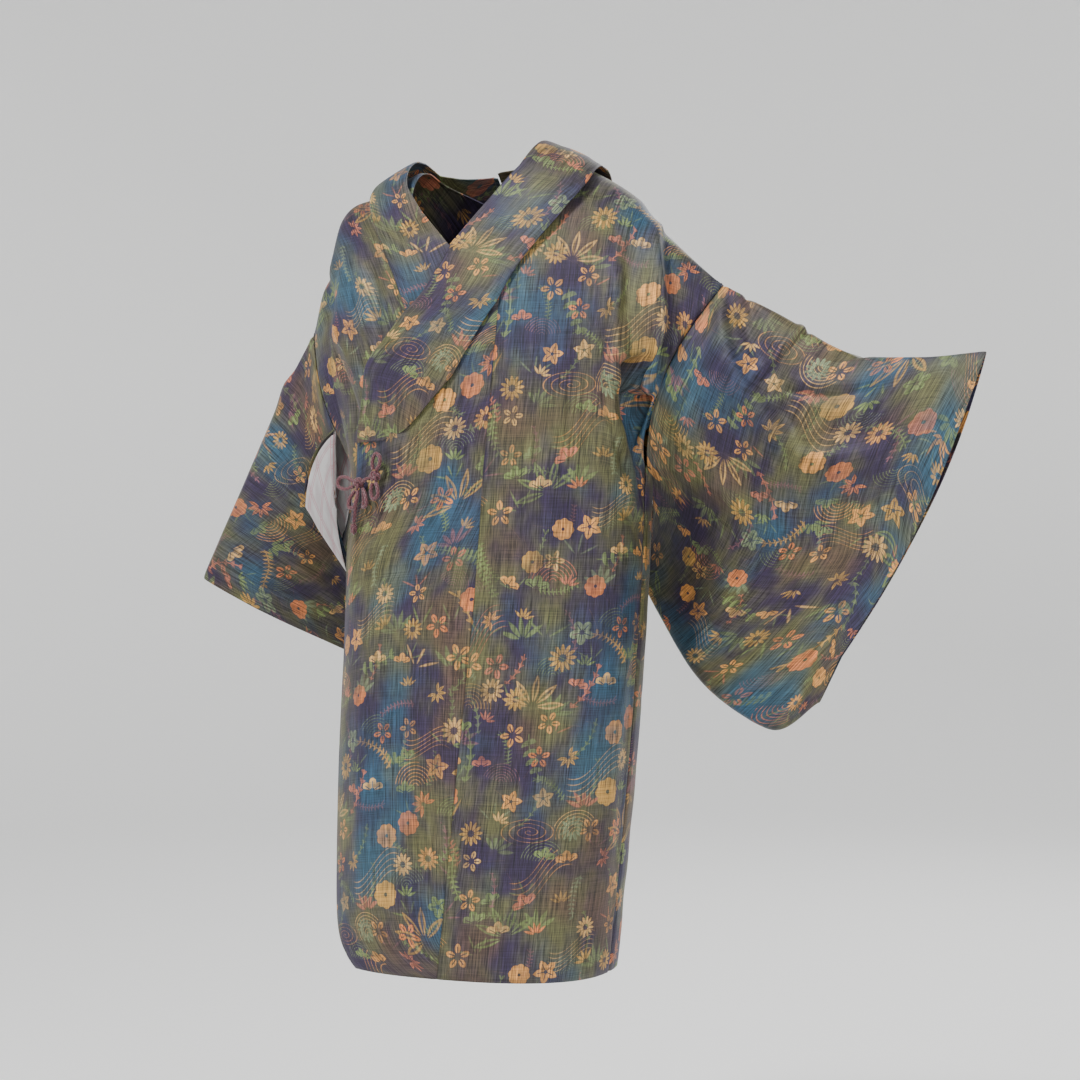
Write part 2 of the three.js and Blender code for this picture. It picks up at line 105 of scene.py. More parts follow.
# The shawl collar from the back of the neck to its tip: its fold line, its outer edge and its lift.
COLLAR = table(
    "fold_column fold_reach edge_column edge_reach lift",
    (0, 2.05, 0, 2.32, 8),
    (0.09, 2.04, 0.24, 2.26, 12),
    (0.14, 1.99, 0.41, 2, 15),
    (0.09, 1.84, 0.34, 1.82, 12),
    (0.01, 1.7, 0.19, 1.62, 7),
    (-0.07, 1.54, 0.11, 1.48, 6),
    (-0.21, 1.43, 0.05, 1.36, 6),
    (-0.34, 1.35, -0.01, 1.24, 6),
    (-0.38, 1.24, -0.12, 1.13, 5),
    (-0.44, 1.09, -0.25, 1.09, 3.6),
)
# Each sleeve from armhole to cuff: its top fold, its lower edge and half the space between its layers.
SLEEVE_COLUMNS = "top_x top_y top_z low_x low_y low_z arm bag"
LEFT_SLEEVE = table(
    SLEEVE_COLUMNS,
    (292, 0, -146, 120, 152, -440, 42, 12),
    (368, 0, -188, 174, 124, -520, 40, 14),
    (440, 0, -228, 236, 86, -594, 36, 14),
    (512, 0, -234, 308, 55, -638, 26, 12),
    (586, 0, -230, 374, 30, -656, 20, 9),
)
RIGHT_SLEEVE = table(
    SLEEVE_COLUMNS,
    (-226, 0, -184, -276, 100, -517, 36, 14),
    (-266, 4, -250, -232, 158, -562, 38, 14),
    (-306, 8, -322, -186, 210, -606, 36, 14),
    (-350, 14, -400, -138, 258, -646, 28, 12),
    (-392, 20, -479, -90, 300, -682, 20, 9),
)
LEFT_INNER_EDGE = {"low": 1, "front": (166, 118, -418), "back": (156, 146, -402)}
RIGHT_INNER_EDGE = {"low": 1.3, "front": (-248, 17, -376), "back": (-216, 72, -408)}
LEFT_FACING = np.array([0.1, -0.99, 0]) / math.hypot(0.1, 0.99)
RIGHT_FACING = np.array([0.54, -0.77, -0.33]) / math.sqrt(0.54**2 + 0.77**2 + 0.33**2)


def mix(a, b, t):
    """Straight passage from a to b."""
    return a + (b - a) * t


def smooth(t):
    """Soft step: three t squared less two t cubed, held between 0 and 1."""
    held = np.clip(t, 0, 1)
    return held * held * (3 - 2 * held)


def bump(value, middle, spread):
    """Bell curve of height 1."""
    return np.exp(-(((value - middle) / spread) ** 2))


def read(rows, along, value, name):
    """Smooth reading of a table: a cubic between rows whose slope at a row is that of its two neighbours."""
    place = rows[along]
    height = rows[name]
    last = len(place) - 1
    slopes = np.array([
        (height[min(k + 1, last)] - height[max(k - 1, 0)]) / (place[min(k + 1, last)] - place[max(k - 1, 0)])
        for k in range(last + 1)
    ])
    i = np.clip(np.searchsorted(place, value, side="left") - 1, 0, last - 1)
    span = place[i + 1] - place[i]
    t = np.clip((value - place[i]) / span, 0, 1)
    rise = height[i + 1] - height[i]
    bent = t * (1 - t) * (span * (slopes[i] * (1 - t) - slopes[i + 1] * t) + rise * (2 * t - 1))
    return height[i] + rise * t + bent


def course(rows, fraction, name):
    """The same where the rows are evenly numbered from 0 to 1."""
    height = rows[name]
    last = len(height) - 1
    at = np.clip(fraction, 0, 1) * last
    i = np.minimum(at.astype(int), last - 1)
    t = at - i
    before, start, end, after = (height[np.clip(i + k, 0, last)] for k in (-1, 0, 1, 2))
    bend = 2 * before - 5 * start + 4 * end - after
    return start + 0.5 * t * (end - before + t * (bend + t * (3 * (start - end) + after - before)))


def section_point(degrees, z):
    """A superellipse round the body: sine and cosine to the power 2 / roundness, times the sides."""
    angle = np.radians(degrees)
    sine, cosine = np.sin(angle), np.cos(angle)
    power = 2 / SECTION_ROUNDNESS
    width = np.where(sine > 0, read(SECTIONS, "z", z, "left"), read(SECTIONS, "z", z, "right"))
    depth = np.where(cosine > 0, read(SECTIONS, "z", z, "front"), read(SECTIONS, "z", z, "back"))
    x = read(SECTIONS, "z", z, "middle_x") + width * np.sign(sine) * np.abs(sine) ** power
    y = read(SECTIONS, "z", z, "middle_y") - depth * np.sign(cosine) * np.abs(cosine) ** power
    return np.stack(np.broadcast_arrays(x, y, z), -1)


def ridge_point(column):
    """The shoulder ridge: out from the neck in even steps of the column, at the height in its table."""
    side = np.abs(column)
    reach = np.where(column > 0, LEFT_SHOULDER_REACH, RIGHT_SHOULDER_REACH)
    outer = (side - NECK_COLUMN) / (1 - NECK_COLUMN)
    x = np.where(outer < 0, NECK_HALF_WIDTH * side / NECK_COLUMN, mix(NECK_HALF_WIDTH, reach, outer))
    z = np.where(column > 0, read(LEFT_RIDGE, "x", x, "z"), read(RIGHT_RIDGE, "x", x, "z"))
    return np.stack([np.sign(column) * x, np.zeros_like(x), z], -1)


def torso(column, level, face):
    """Below the armpit a section, above it the armpit's section drawn in to the ridge.

    Its depth there goes with the root of one less the cube of the rise.
    """
    column, level, face = np.broadcast_arrays(np.asarray(column, float), np.asarray(level, float), face)
    degrees = np.where(face > 0, 90 * column, 180 - 90 * column)
    below = section_point(degrees, mix(HEM_Z, ARMPIT_Z, np.minimum(level, 1)))
    rise = np.clip(level - 1, 0, 1)
    start = section_point(degrees, np.full_like(degrees, ARMPIT_Z))
    ridge = ridge_point(column)
    armhole = ARMHOLE_HALF_DEPTH * np.sin(np.pi * rise) * np.abs(column) ** 3
    left = column > 0
    fold = np.where(left, 20 * bump(column, 0.74, 0.1) * bump(rise, 0.3, 0.3), 0)
    tuck = np.where(left, 16 * bump(column, 0.88, 0.07) * bump(rise, 0.3, 0.3), 0)
    x = mix(start[..., 0], ridge[..., 0], rise**1.4)
    y = start[..., 1] * np.sqrt(1 - rise**3) - face * (armhole + fold - tuck)
    z = mix(ARMPIT_Z, ridge[..., 2], rise)
    return np.where((level <= 1)[..., None], below, np.stack([x, y, z], -1))


def unit(vectors):
    """Vectors brought to length 1."""
    return vectors / np.maximum(np.linalg.norm(vectors, axis=-1, keepdims=True), 1e-9)


def on_torso(column, reach):
    """A torso point by its reach, which runs on over the ridge: behind it, the level is 4 less the reach."""
    return torso(column, np.where(reach > 2, 4 - reach, reach), np.where(reach > 2, -1, 1))


def lifted(column, reach, distance):
    """A torso point moved out along the normal, the cross product of the steps across and along."""
    column, reach, distance = np.broadcast_arrays(column, reach, distance)
    step = 0.01
    near = np.where(reach > 2 - step, reach - step, reach)
    across = on_torso(column + step, reach) - on_torso(column - step, reach)
    along = on_torso(column, near + step) - on_torso(column, near - step)
    return on_torso(column, reach) + unit(np.cross(across, along)) * distance[..., None]


def underlay(column, reach):
    """How far the right front lies under the left one: less at the side seam, none at the ridge."""
    in_front = 1 - smooth((reach - 1.8) / 0.15)
    return -UNDERLAY * np.minimum(1, (1 - np.abs(column)) / 0.12) * in_front


def panel_reach(fraction):
    """The reach from the front hem over the ridge to the back hem, with short steps at the ridge."""
    half = np.where(fraction <= 0.5, fraction * 2, (1 - fraction) * 2)
    level = np.where(half < 0.5, half * 2, 1 + np.sin((half - 0.5) * np.pi))
    return np.where(fraction <= 0.5, level, 4 - level)


def inner_column(reach):
    """A body panel's inner column: the overlap seam in front, the centre seam behind, the neck on top."""
    front = read(OVERLAP_SEAM, "level", np.minimum(reach, 2), "column") + SEAM_COLUMN
    back = mix(SEAM_COLUMN, NECK_COLUMN, smooth((4 - reach - 1.82) / 0.18))
    return np.where(reach <= 2, front, back)


def inner_edge(side, inner, face, depth, rows, facing):
    """The sleeve's edge at the body: the armhole seam, then a parabola through three points to the corner."""
    seam = torso(side, mix(2, inner["low"], np.minimum(depth / ARMHOLE_SHARE, 1)), face)
    seam[..., 0] += side * ARMHOLE_GAP
    t = np.clip((depth - ARMHOLE_SHARE) / (1 - ARMHOLE_SHARE), 0, 1)[..., None]
    start = torso(side, inner["low"], face)
    start[..., 0] += side * ARMHOLE_GAP
    middle = np.where((face > 0)[..., None], np.array(inner["front"], float), np.array(inner["back"], float))
    corner = np.array([rows["low_x"][0], rows["low_y"][0], rows["low_z"][0]])
    end = corner + facing * face[..., None] * SEAM_GAP
    free = start * (1 - t) * (1 - 2 * t) + middle * 4 * t * (1 - t) + end * t * (2 * t - 1)
    return np.where((depth <= ARMHOLE_SHARE)[..., None], seam, free)


def clear_of_body(point, least, side):
    """Moves a point below the armpit out along its ray until it is a little off the body's superellipse.

    The left sleeve lies closer to the body than the right one, which has room at the armpit.
    """
    z = np.minimum(point[..., 2], ARMPIT_Z)
    room = ARMPIT_CLEARANCE if side < 0 else 0
    share = LEFT_CLEARANCE_SHARE if side > 0 else 1
    clearance = least * share + room * np.exp((z - ARMPIT_Z) / ARMPIT_CLEARANCE)
    x = point[..., 0] - read(SECTIONS, "z", z, "middle_x")
    y = point[..., 1] - read(SECTIONS, "z", z, "middle_y")
    width = np.where(x > 0, read(SECTIONS, "z", z, "left"), read(SECTIONS, "z", z, "right")) + clearance
    depth = np.where(y < 0, read(SECTIONS, "z", z, "front"), read(SECTIONS, "z", z, "back")) + clearance
    power = SECTION_ROUNDNESS
    inside = (np.abs(x / width) ** power + np.abs(y / depth) ** power) ** (1 / power)
    scale = np.where(point[..., 2] > ARMPIT_Z, 0, np.maximum(1, 1 / np.maximum(inside, 0.05)) - 1)
    return point + np.stack([x * scale, y * scale, 0 * x], -1)


def sleeve_point(side, across, down):
    """From the top fold to the lower edge; the layers part by a root near the fold and close at the edge."""
    rows = LEFT_SLEEVE if side > 0 else RIGHT_SLEEVE
    facing = LEFT_FACING if side > 0 else RIGHT_FACING
    inner = LEFT_INNER_EDGE if side > 0 else RIGHT_INNER_EDGE
    across, down = np.broadcast_arrays(np.asarray(across, float), np.asarray(down, float))
    face = np.where(down < 0, -1, 1)
    depth = np.abs(down)

    def hung(s):
        top = np.stack([course(rows, s, "top_x"), course(rows, s, "top_y"), course(rows, s, "top_z")], -1)
        low = np.stack([course(rows, s, "low_x"), course(rows, s, "low_y"), course(rows, s, "low_z")], -1)
        corner = 1 - CORNER_SHARE * smooth((s - 0.8) / 0.2) ** 2 * depth**6
        opening = np.sqrt(np.minimum(depth / 0.16, 1))
        bag_share = smooth((depth - 0.2) / 0.3)
        space = opening * (course(rows, s, "arm") * (1 - bag_share) + course(rows, s, "bag") * bag_share)
        apart = np.maximum(space * np.sqrt(np.maximum(1 - depth**8, 0)), SEAM_GAP)
        point = top + (low - top) * (depth * corner)[..., None] + facing * (face * apart)[..., None]
        if side > 0:
            point[..., 0] += CUFF_BULGE * s * s * np.sin(np.pi * np.minimum(depth / 0.8, 1))
        return point

    root = hung(np.zeros_like(across))
    edge = inner_edge(side, inner, face, depth, rows, facing)
    point = hung(across) + (edge - root) * ((1 - across) ** 3)[..., None]
    return clear_of_body(point, np.where(face > 0, FRONT_CLEARANCE, BACK_CLEARANCE), side)


# Camera at the photograph's angle, level with the coat's middle.
CAMERA_PLACE = (0.9968, -2.2936, -0.432)
CAMERA_AZIMUTH = 22.0
CAMERA_FIELD = 28.46


def set_camera():
    """A level camera turned to the coat's left by the azimuth, with the photograph's field of view."""
    view = bpy.data.cameras.new("camera")
    view.angle = math.radians(CAMERA_FIELD)
    view.clip_end = 50
    holder = bpy.data.objects.new("camera", view)
    holder.location = CAMERA_PLACE
    holder.rotation_euler = (math.pi / 2, 0, math.radians(CAMERA_AZIMUTH))
    bpy.context.collection.objects.link(holder)
    bpy.context.scene.camera = holder


def new_object(name, points, faces, material):
    """A smooth mesh of its points in metres and its faces."""
    mesh = bpy.data.meshes.new(name)
    mesh.from_pydata(points.tolist(), [], faces)
    mesh.materials.append(material)
    mesh.shade_smooth()
    made = bpy.data.objects.new(name, mesh)
    bpy.context.collection.objects.link(made)
    return made


def face_corners(mesh):
    """The number of the point at each corner of the faces."""
    corners = np.empty(len(mesh.loops), np.int32)
    mesh.loops.foreach_get("vertex_index", corners)
    return corners


def set_map(mesh, places):
    """The place on the flat cut at each corner of the faces, as the mesh's map."""
    layer = mesh.uv_layers.new(name="flat")
    layer.data.foreach_set("uv", places.astype(np.float32).ravel())


def quads(rows, columns, closed=False):
    """The faces of a grid of points, row after row; closed joins its last column to its first."""
    wide = columns if closed else columns - 1
    down, right = np.meshgrid(np.arange(rows - 1), np.arange(wide), indexing="ij")
    near = down * columns + right
    far = down * columns + (right + 1) % columns
    return np.stack([near, far, far + columns, near + columns], -1).reshape(-1, 4)


def tube(name, path, radius, material, sides=12, taper=None):
    """A round section carried along a path: each ring lies across the path, in a frame that doesn't twist."""
    ahead = unit(np.gradient(path, axis=0))
    up = unit(np.cross(ahead[0], [0.31, 0.27, 0.91]))
    frames = []
    for direction in ahead:
        up = unit(up - direction * np.dot(up, direction))
        frames.append(up)
    frames = np.array(frames)
    turn = np.linspace(0, 2 * np.pi, sides, endpoint=False)
    width = np.full(len(path), radius, float) if taper is None else radius * taper
    cosine, sine = np.cos(turn)[None, :, None], np.sin(turn)[None, :, None]
    ring = cosine * frames[:, None] + sine * np.cross(ahead, frames)[:, None]
    points = (path[:, None] + ring * width[:, None, None]).reshape(-1, 3)
    count = len(points)
    base = count - sides
    first = [[count, (k + 1) % sides, k] for k in range(sides)]
    last = [[count + 1, base + k, base + (k + 1) % sides] for k in range(sides)]
    faces = quads(len(path), sides, closed=True).tolist() + first + last
    made = new_object(name, np.concatenate([points, [path[0], path[-1]]]) * MM, faces, material)
    mesh = made.data

    # The map runs along the cord in metres and once round it; it ends at 1 where the ring closes.
    length = np.concatenate([[0], np.cumsum(np.linalg.norm(np.diff(path, axis=0), axis=1))])
    flat = np.stack([np.repeat(length * MM, sides), np.tile(turn / (2 * np.pi), len(path))], -1)
    flat = np.concatenate([flat, [[0, 0], [length[-1] * MM, 0]]])
    corners = face_corners(mesh)
    around = flat[corners]
    seam = (corners < count) & (corners % sides == 0)
    totals = np.empty(len(mesh.polygons), np.int32)
    mesh.polygons.foreach_get("loop_total", totals)
    owner = np.repeat(np.arange(len(totals)), totals)
    wraps = np.zeros(len(totals), bool)
    np.logical_or.at(wraps, owner, (corners < count) & (corners % sides == sides - 1))
    around[seam & wraps[owner], 1] = 1
    set_map(mesh, around)
    return made


class Amount:
    """A number that varies over a material, worked out by Math nodes."""

    def __init__(self, tree, socket):
        self.tree = tree
        self.socket = socket

    def math(self, operation, *others):
        node = self.tree.nodes.new("ShaderNodeMath")
        node.operation = operation
        for place, part in enumerate((self, *others)):
            if isinstance(part, Amount):
                self.tree.links.new(part.socket, node.inputs[place])
            else:
                node.inputs[place].default_value = part
        return Amount(self.tree, node.outputs[0])

    def __add__(self, other):
        return self.math("ADD", other)

    def __sub__(self, other):
        return self.math("SUBTRACT", other)

    def __mul__(self, other):
        return self.math("MULTIPLY", other)

    def __truediv__(self, other):
        return self.math("DIVIDE", other)

    def __abs__(self):
        return self.math("ABSOLUTE")

    __radd__ = __add__
    __rmul__ = __mul__

    def flipped(self):
        """One less the number."""
        return self * -1 + 1

    def least(self, other):
        return self.math("MINIMUM", other)

    def most(self, other):
        return self.math("MAXIMUM", other)

    def power(self, other):
        return self.math("POWER", other)

    def soft(self, low, high):
        """A soft step from 0 at low to 1 at high."""
        node = self.tree.nodes.new("ShaderNodeMapRange")
        node.interpolation_type = "SMOOTHSTEP"
        self.tree.links.new(self.socket, node.inputs["Value"])
        node.inputs["From Min"].default_value = low
        node.inputs["From Max"].default_value = high
        return Amount(self.tree, node.outputs["Result"])


class Material:
    """A node material with the few building blocks that the coat's finishes use."""

    def __init__(self, name):
        self.made = bpy.data.materials.new(name)
        self.made.use_nodes = True
        self.tree = self.made.node_tree
        self.shader = self.tree.nodes["Principled BSDF"]

    def node(self, kind, **values):
        made = self.tree.nodes.new(kind)
        for key, value in values.items():
            if hasattr(made, key):
                setattr(made, key, value)
            else:
                made.inputs[key.replace("_", " ")].default_value = value
        return made

    def link(self, source, target):
        self.tree.links.new(source.socket if isinstance(source, Amount) else source, target)

    def vector(self, *parts):
        """A vector of two or three amounts."""
        made = self.node("ShaderNodeCombineXYZ")
        for part, slot in zip(parts, made.inputs):
            self.link(part, slot)
        return made.outputs[0]

    def parts(self, socket):
        """The three numbers of a vector."""
        split = self.node("ShaderNodeSeparateXYZ")
        self.link(socket, split.inputs[0])
        return [Amount(self.tree, out) for out in split.outputs]

    def attribute(self, name):
        return self.node("ShaderNodeAttribute", attribute_name=name)

    def map(self):
        """The place on the flat cut, in metres."""
        return self.parts(self.node("ShaderNodeUVMap", uv_map="flat").outputs[0])[:2]

    def noise(self, place, scale, detail=2.0, roughness=0.5):
        """Soft noise about 0.5, at a place."""
        made = self.node("ShaderNodeTexNoise", Scale=scale, Detail=detail, Roughness=roughness)
        self.link(place, made.inputs["Vector"])
        return Amount(self.tree, made.outputs["Fac"])

    def blend(self, share, first, second, way="MIX"):
        """Two colours mixed; a colour is three numbers or a socket."""
        made = self.node("ShaderNodeMix", data_type="RGBA", blend_type=way)
        if isinstance(share, Amount):
            self.link(share, made.inputs["Factor"])
        else:
            made.inputs["Factor"].default_value = share
        for colour, slot in ((first, made.inputs[6]), (second, made.inputs[7])):
            if isinstance(colour, tuple):
                slot.default_value = (*colour, 1)
            else:
                self.link(colour, slot)
        return made.outputs[2]

    def bump(self, height, distance):
        """A height in the distance's metres, as the shader's bump."""
        made = self.node("ShaderNodeBump", Distance=distance, Strength=1.0)
        self.link(height, made.inputs["Height"])
        self.link(made.outputs[0], self.shader.inputs["Normal"])


# Tints of the woven flowers.
TINTS = {
    "tan": (0.56, 0.25, 0.06),
    "gold": (0.42, 0.23, 0.05),
    "coral": (0.56, 0.17, 0.05),
    "rose": (0.42, 0.13, 0.07),
    "cream": (0.55, 0.32, 0.10),
    "leaf": (0.13, 0.17, 0.06),
    "sage": (0.15, 0.20, 0.06),
    "mist": (0.15, 0.19, 0.10),
    "plum": (0.20, 0.08, 0.09),
}
# The woven forms. A flower has petals round its middle: their number, the middle, half length and half width
# of one, how pointed it is, the arc in degrees that they fill, how far it is only an outline, and its vein.
FLOWERS = {
    "daisy": (12, 0.62, 0.36, 0.135, 0.5, 200, 0, 0.0),
    "plum_blossom": (5, 0.56, 0.40, 0.33, 0.5, 200, 0, 0.05),
    "clover": (5, 0.60, 0.36, 0.235, 0.6, 200, 0, 0.07),
    "peony": (8, 0.50, 0.50, 0.42, 0.5, 200, 0, 0.0),
    "bellflower": (5, 0.45, 0.55, 0.30, 1.0, 200, 0, 0.045),
    "pine": (6, 0.60, 0.40, 0.34, 0.5, 78, 0, 0.05),
    "tuft": (12, 0.55, 0.46, 0.11, 1.1, 80, 0, 0.0),
    "maple": (9, 0.50, 0.50, 0.15, 1.3, 135, 0, 0.02),
    "bamboo": (9, 0.56, 0.44, 0.10, 1.2, 100, 0.85, 0.012),
    "orchid": (7, 0.52, 0.48, 0.05, 1.3, 90, 0, 0.0),
}
# A spray has leaf pairs on a bent stem: the step between pairs, a leaf's angle, half length and half width,
# the bend, and how far it is only an outline.
SPRAYS = {
    "fern": (0.17, 52, 0.17, 0.060, 0.30, 0.0),
    "reed": (0.30, 30, 0.26, 0.055, 0.25, 0.6),
    "wisteria": (0.16, 70, 0.10, 0.062, 0.15, 0.0),
    "oval_leaves": (0.34, 48, 0.18, 0.110, 0.20, 0.0),
}
# Water is lines at even spaces: the space, a line's share of it, the arc, the curve's swing and its swirl.
WATERS = {
    "waves": (0.12, 0.13, 80, 0.0, 0.0),
    "whirl": (0.26, 0.07, 200, 0.0, 1.0),
    "stream": (0.17, 0.08, 0, 0.30, 0.0),
}
# Forms that stand within 35 degrees of the warp, and how much a whirl is flattened.
UPRIGHT = ("pine", "waves", "stream", "whirl", "bamboo", "orchid", "tuft", "reed")
WHIRL_FLATTENING = 2.1

# The cloth's repeat, 36 by 50 cm, charted, each place a form and its tint: small flowers in rows 4 cm
# apart, and beneath them the large leaves and water in rows 7 cm apart. A dot is an empty place.
REPEAT = (0.36, 0.50)
SMALL_CHART = """
daisy:cream clover:tan . peony:tan bellflower:tan tuft:gold daisy:gold clover:coral . pine:tan
. pine:sage pine:cream tuft:coral . daisy:cream clover:tan . peony:coral peony:tan
maple:coral clover:tan pine:leaf pine:rose tuft:gold . bellflower:tan clover:rose . daisy:tan
clover:tan clover:cream . pine:sage pine:tan maple:rose . tuft:gold pine:cream .
peony:tan daisy:gold tuft:cream . daisy:mist clover:tan clover:coral . pine:leaf pine:tan
peony:coral . bellflower:tan bellflower:cream . peony:gold tuft:sage plum_blossom:sage . daisy:cream
pine:tan pine:rose . clover:coral maple:gold . daisy:cream daisy:tan peony:rose tuft:tan
pine:sage tuft:rose clover:tan clover:tan . peony:tan peony:coral . tuft:gold daisy:gold
. daisy:cream daisy:gold . pine:rose pine:cream pine:sage maple:coral . clover:tan
clover:tan clover:rose . daisy:gold tuft:sage . pine:leaf bellflower:tan bellflower:gold .
peony:tan maple:tan tuft:gold . plum_blossom:mist clover:coral clover:tan . daisy:cream daisy:tan
. pine:tan pine:leaf tuft:rose peony:coral . tuft:gold maple:gold . clover:cream
daisy:tan . peony:gold clover:cream . pine:cream pine:tan . clover:tan tuft:coral
"""
LARGE_CHART = """
waves:tan bamboo:sage stream:cream orchid:sage reed:gold
fern:sage stream:tan . wisteria:leaf waves:rose
orchid:gold whirl:tan waves:cream bamboo:gold stream:tan
reed:sage oval_leaves:leaf stream:cream fern:leaf orchid:tan
waves:gold bamboo:cream reed:rose waves:tan whirl:cream
stream:rose orchid:leaf fern:gold stream:tan bamboo:sage
wisteria:sage waves:rose oval_leaves:sage orchid:cream reed:leaf
"""
# Thin dim plants that fill the ground between them, in rows 4 cm apart.
GROUND_CHART = """
reed:leaf orchid:sage fern:plum waves:mist tuft:leaf orchid:leaf reed:rose
orchid:plum fern:leaf tuft:sage reed:sage orchid:rose waves:plum fern:sage
waves:sage reed:plum orchid:leaf fern:mist reed:leaf tuft:plum orchid:sage
fern:rose tuft:leaf waves:leaf orchid:plum fern:sage reed:mist orchid:leaf
reed:sage orchid:mist reed:leaf tuft:rose orchid:sage fern:leaf waves:plum
orchid:leaf waves:plum fern:sage reed:leaf waves:mist orchid:plum tuft:sage
tuft:plum fern:leaf orchid:rose reed:sage fern:leaf reed:plum orchid:mist
reed:leaf orchid:sage tuft:leaf fern:plum orchid:leaf waves:sage fern:leaf
fern:mist reed:rose waves:sage orchid:leaf tuft:sage fern:leaf reed:sage
orchid:leaf tuft:sage reed:plum waves:leaf reed:mist orchid:sage fern:rose
waves:plum orchid:leaf fern:sage tuft:mist fern:plum reed:leaf orchid:leaf
fern:sage reed:leaf orchid:mist reed:rose orchid:leaf tuft:leaf waves:sage
"""
# The three layers: their charts, and the least and largest half size of a form in metres.
LAYERS = (
    ("large", LARGE_CHART, (0.030, 0.041)),
    ("small", SMALL_CHART, (0.0115, 0.0165)),
    ("ground", GROUND_CHART, (0.022, 0.030)),
)


def scattered(seed):
    """Fixed numbers from 0 to 1 that look unordered: the fraction of a large multiple of a sine."""
    value = np.sin(np.asarray(seed) * 12.9898 + 4.1414) * 43758.5453
    return value - np.floor(value)


def read_chart(chart, sizes):
    """A chart's places in the repeat, with a size, a turn, and the numbers of its form and tint."""
    lines = [line.split() for line in chart.strip().splitlines()]
    rows = []
    for down, line in enumerate(lines):
        for right, word in enumerate(line):
            if word == ".":
                continue
            form, tint = word.split(":")
            seed = down * 31.7 + right * 7.3
            shift_x, shift_y, turn, grow = (float(scattered(seed + 0.37 * k)) for k in range(4))
            across = (right + 0.5 + 0.45 * (shift_x - 0.5) + 0.25 * (down % 2)) / len(line) * REPEAT[0]
            along = (down + 0.5 + 0.5 * (shift_y - 0.5)) / len(lines) * REPEAT[1]
            rows.append((across, along, mix(*sizes, grow), turn, form, tint))
    return rows


def form_numbers(form):
    """A form's family, 0 to 2, and its eight numbers."""
    for family, forms in enumerate((FLOWERS, SPRAYS, WATERS)):
        if form in forms:
            return family, (*forms[form], 0, 0, 0)[:8]
    raise ValueError(form)


def weave_flowers(mesh, layer, chart, sizes):
    """Gives each face the nearest form of the repeat: its place in that form, its numbers and its tint."""
    flat = np.empty(len(mesh.loops) * 2, np.float32)
    mesh.uv_layers["flat"].data.foreach_get("uv", flat)
    flat = flat.reshape(-1, 4, 2)
    middle = flat.mean(1)
    best = np.full(len(middle), np.inf)
    place = np.zeros((*flat.shape[:2], 3), np.float32)
    first = np.zeros((len(middle), 3), np.float32)
    second = np.zeros((len(middle), 3), np.float32)
    tints = np.zeros((len(middle), 4), np.float32)
    for across, along, size, turn, form, tint in read_chart(chart, sizes):
        family, numbers = form_numbers(form)
        offset = middle - (across, along)
        wrap = np.round(offset / REPEAT) * REPEAT
        tilt = math.radians((turn - 0.5) * (70 if form in UPRIGHT else 360) + (90 if family != 2 else 0))
        if form == "waves":
            tilt += math.pi / 2
        cosine, sine = math.cos(tilt) / size, math.sin(tilt) / size
        local = offset - wrap
        distance = np.hypot(local[:, 0], local[:, 1]) / size
        near = distance < best
        best[near] = distance[near]
        corner = flat[near] - wrap[near][:, None] - (across, along)
        place[near, :, 0] = corner[..., 0] * cosine + corner[..., 1] * sine
        flattened = WHIRL_FLATTENING if form == "whirl" else 1
        place[near, :, 1] = (-corner[..., 0] * sine + corner[..., 1] * cosine) * flattened
        place[near, :, 2] = family
        first[near] = numbers[:3]
        second[near] = numbers[3:6]
        tints[near] = (*TINTS[tint], numbers[7])
        place[near, :, 2] += numbers[6] * 0.4
    for name, kind, values in (
        (f"{layer}_place", "FLOAT_VECTOR", place.reshape(-1, 3)),
        (f"{layer}_first", "FLOAT_VECTOR", np.repeat(first, 4, 0)),
        (f"{layer}_second", "FLOAT_VECTOR", np.repeat(second, 4, 0)),
        (f"{layer}_tint", "FLOAT_COLOR", np.repeat(tints, 4, 0)),
    ):
        made = mesh.attributes.new(name, kind, "CORNER")
        field = "color" if kind == "FLOAT_COLOR" else "vector"
        made.data.foreach_set(field, values.astype(np.float32).ravel())


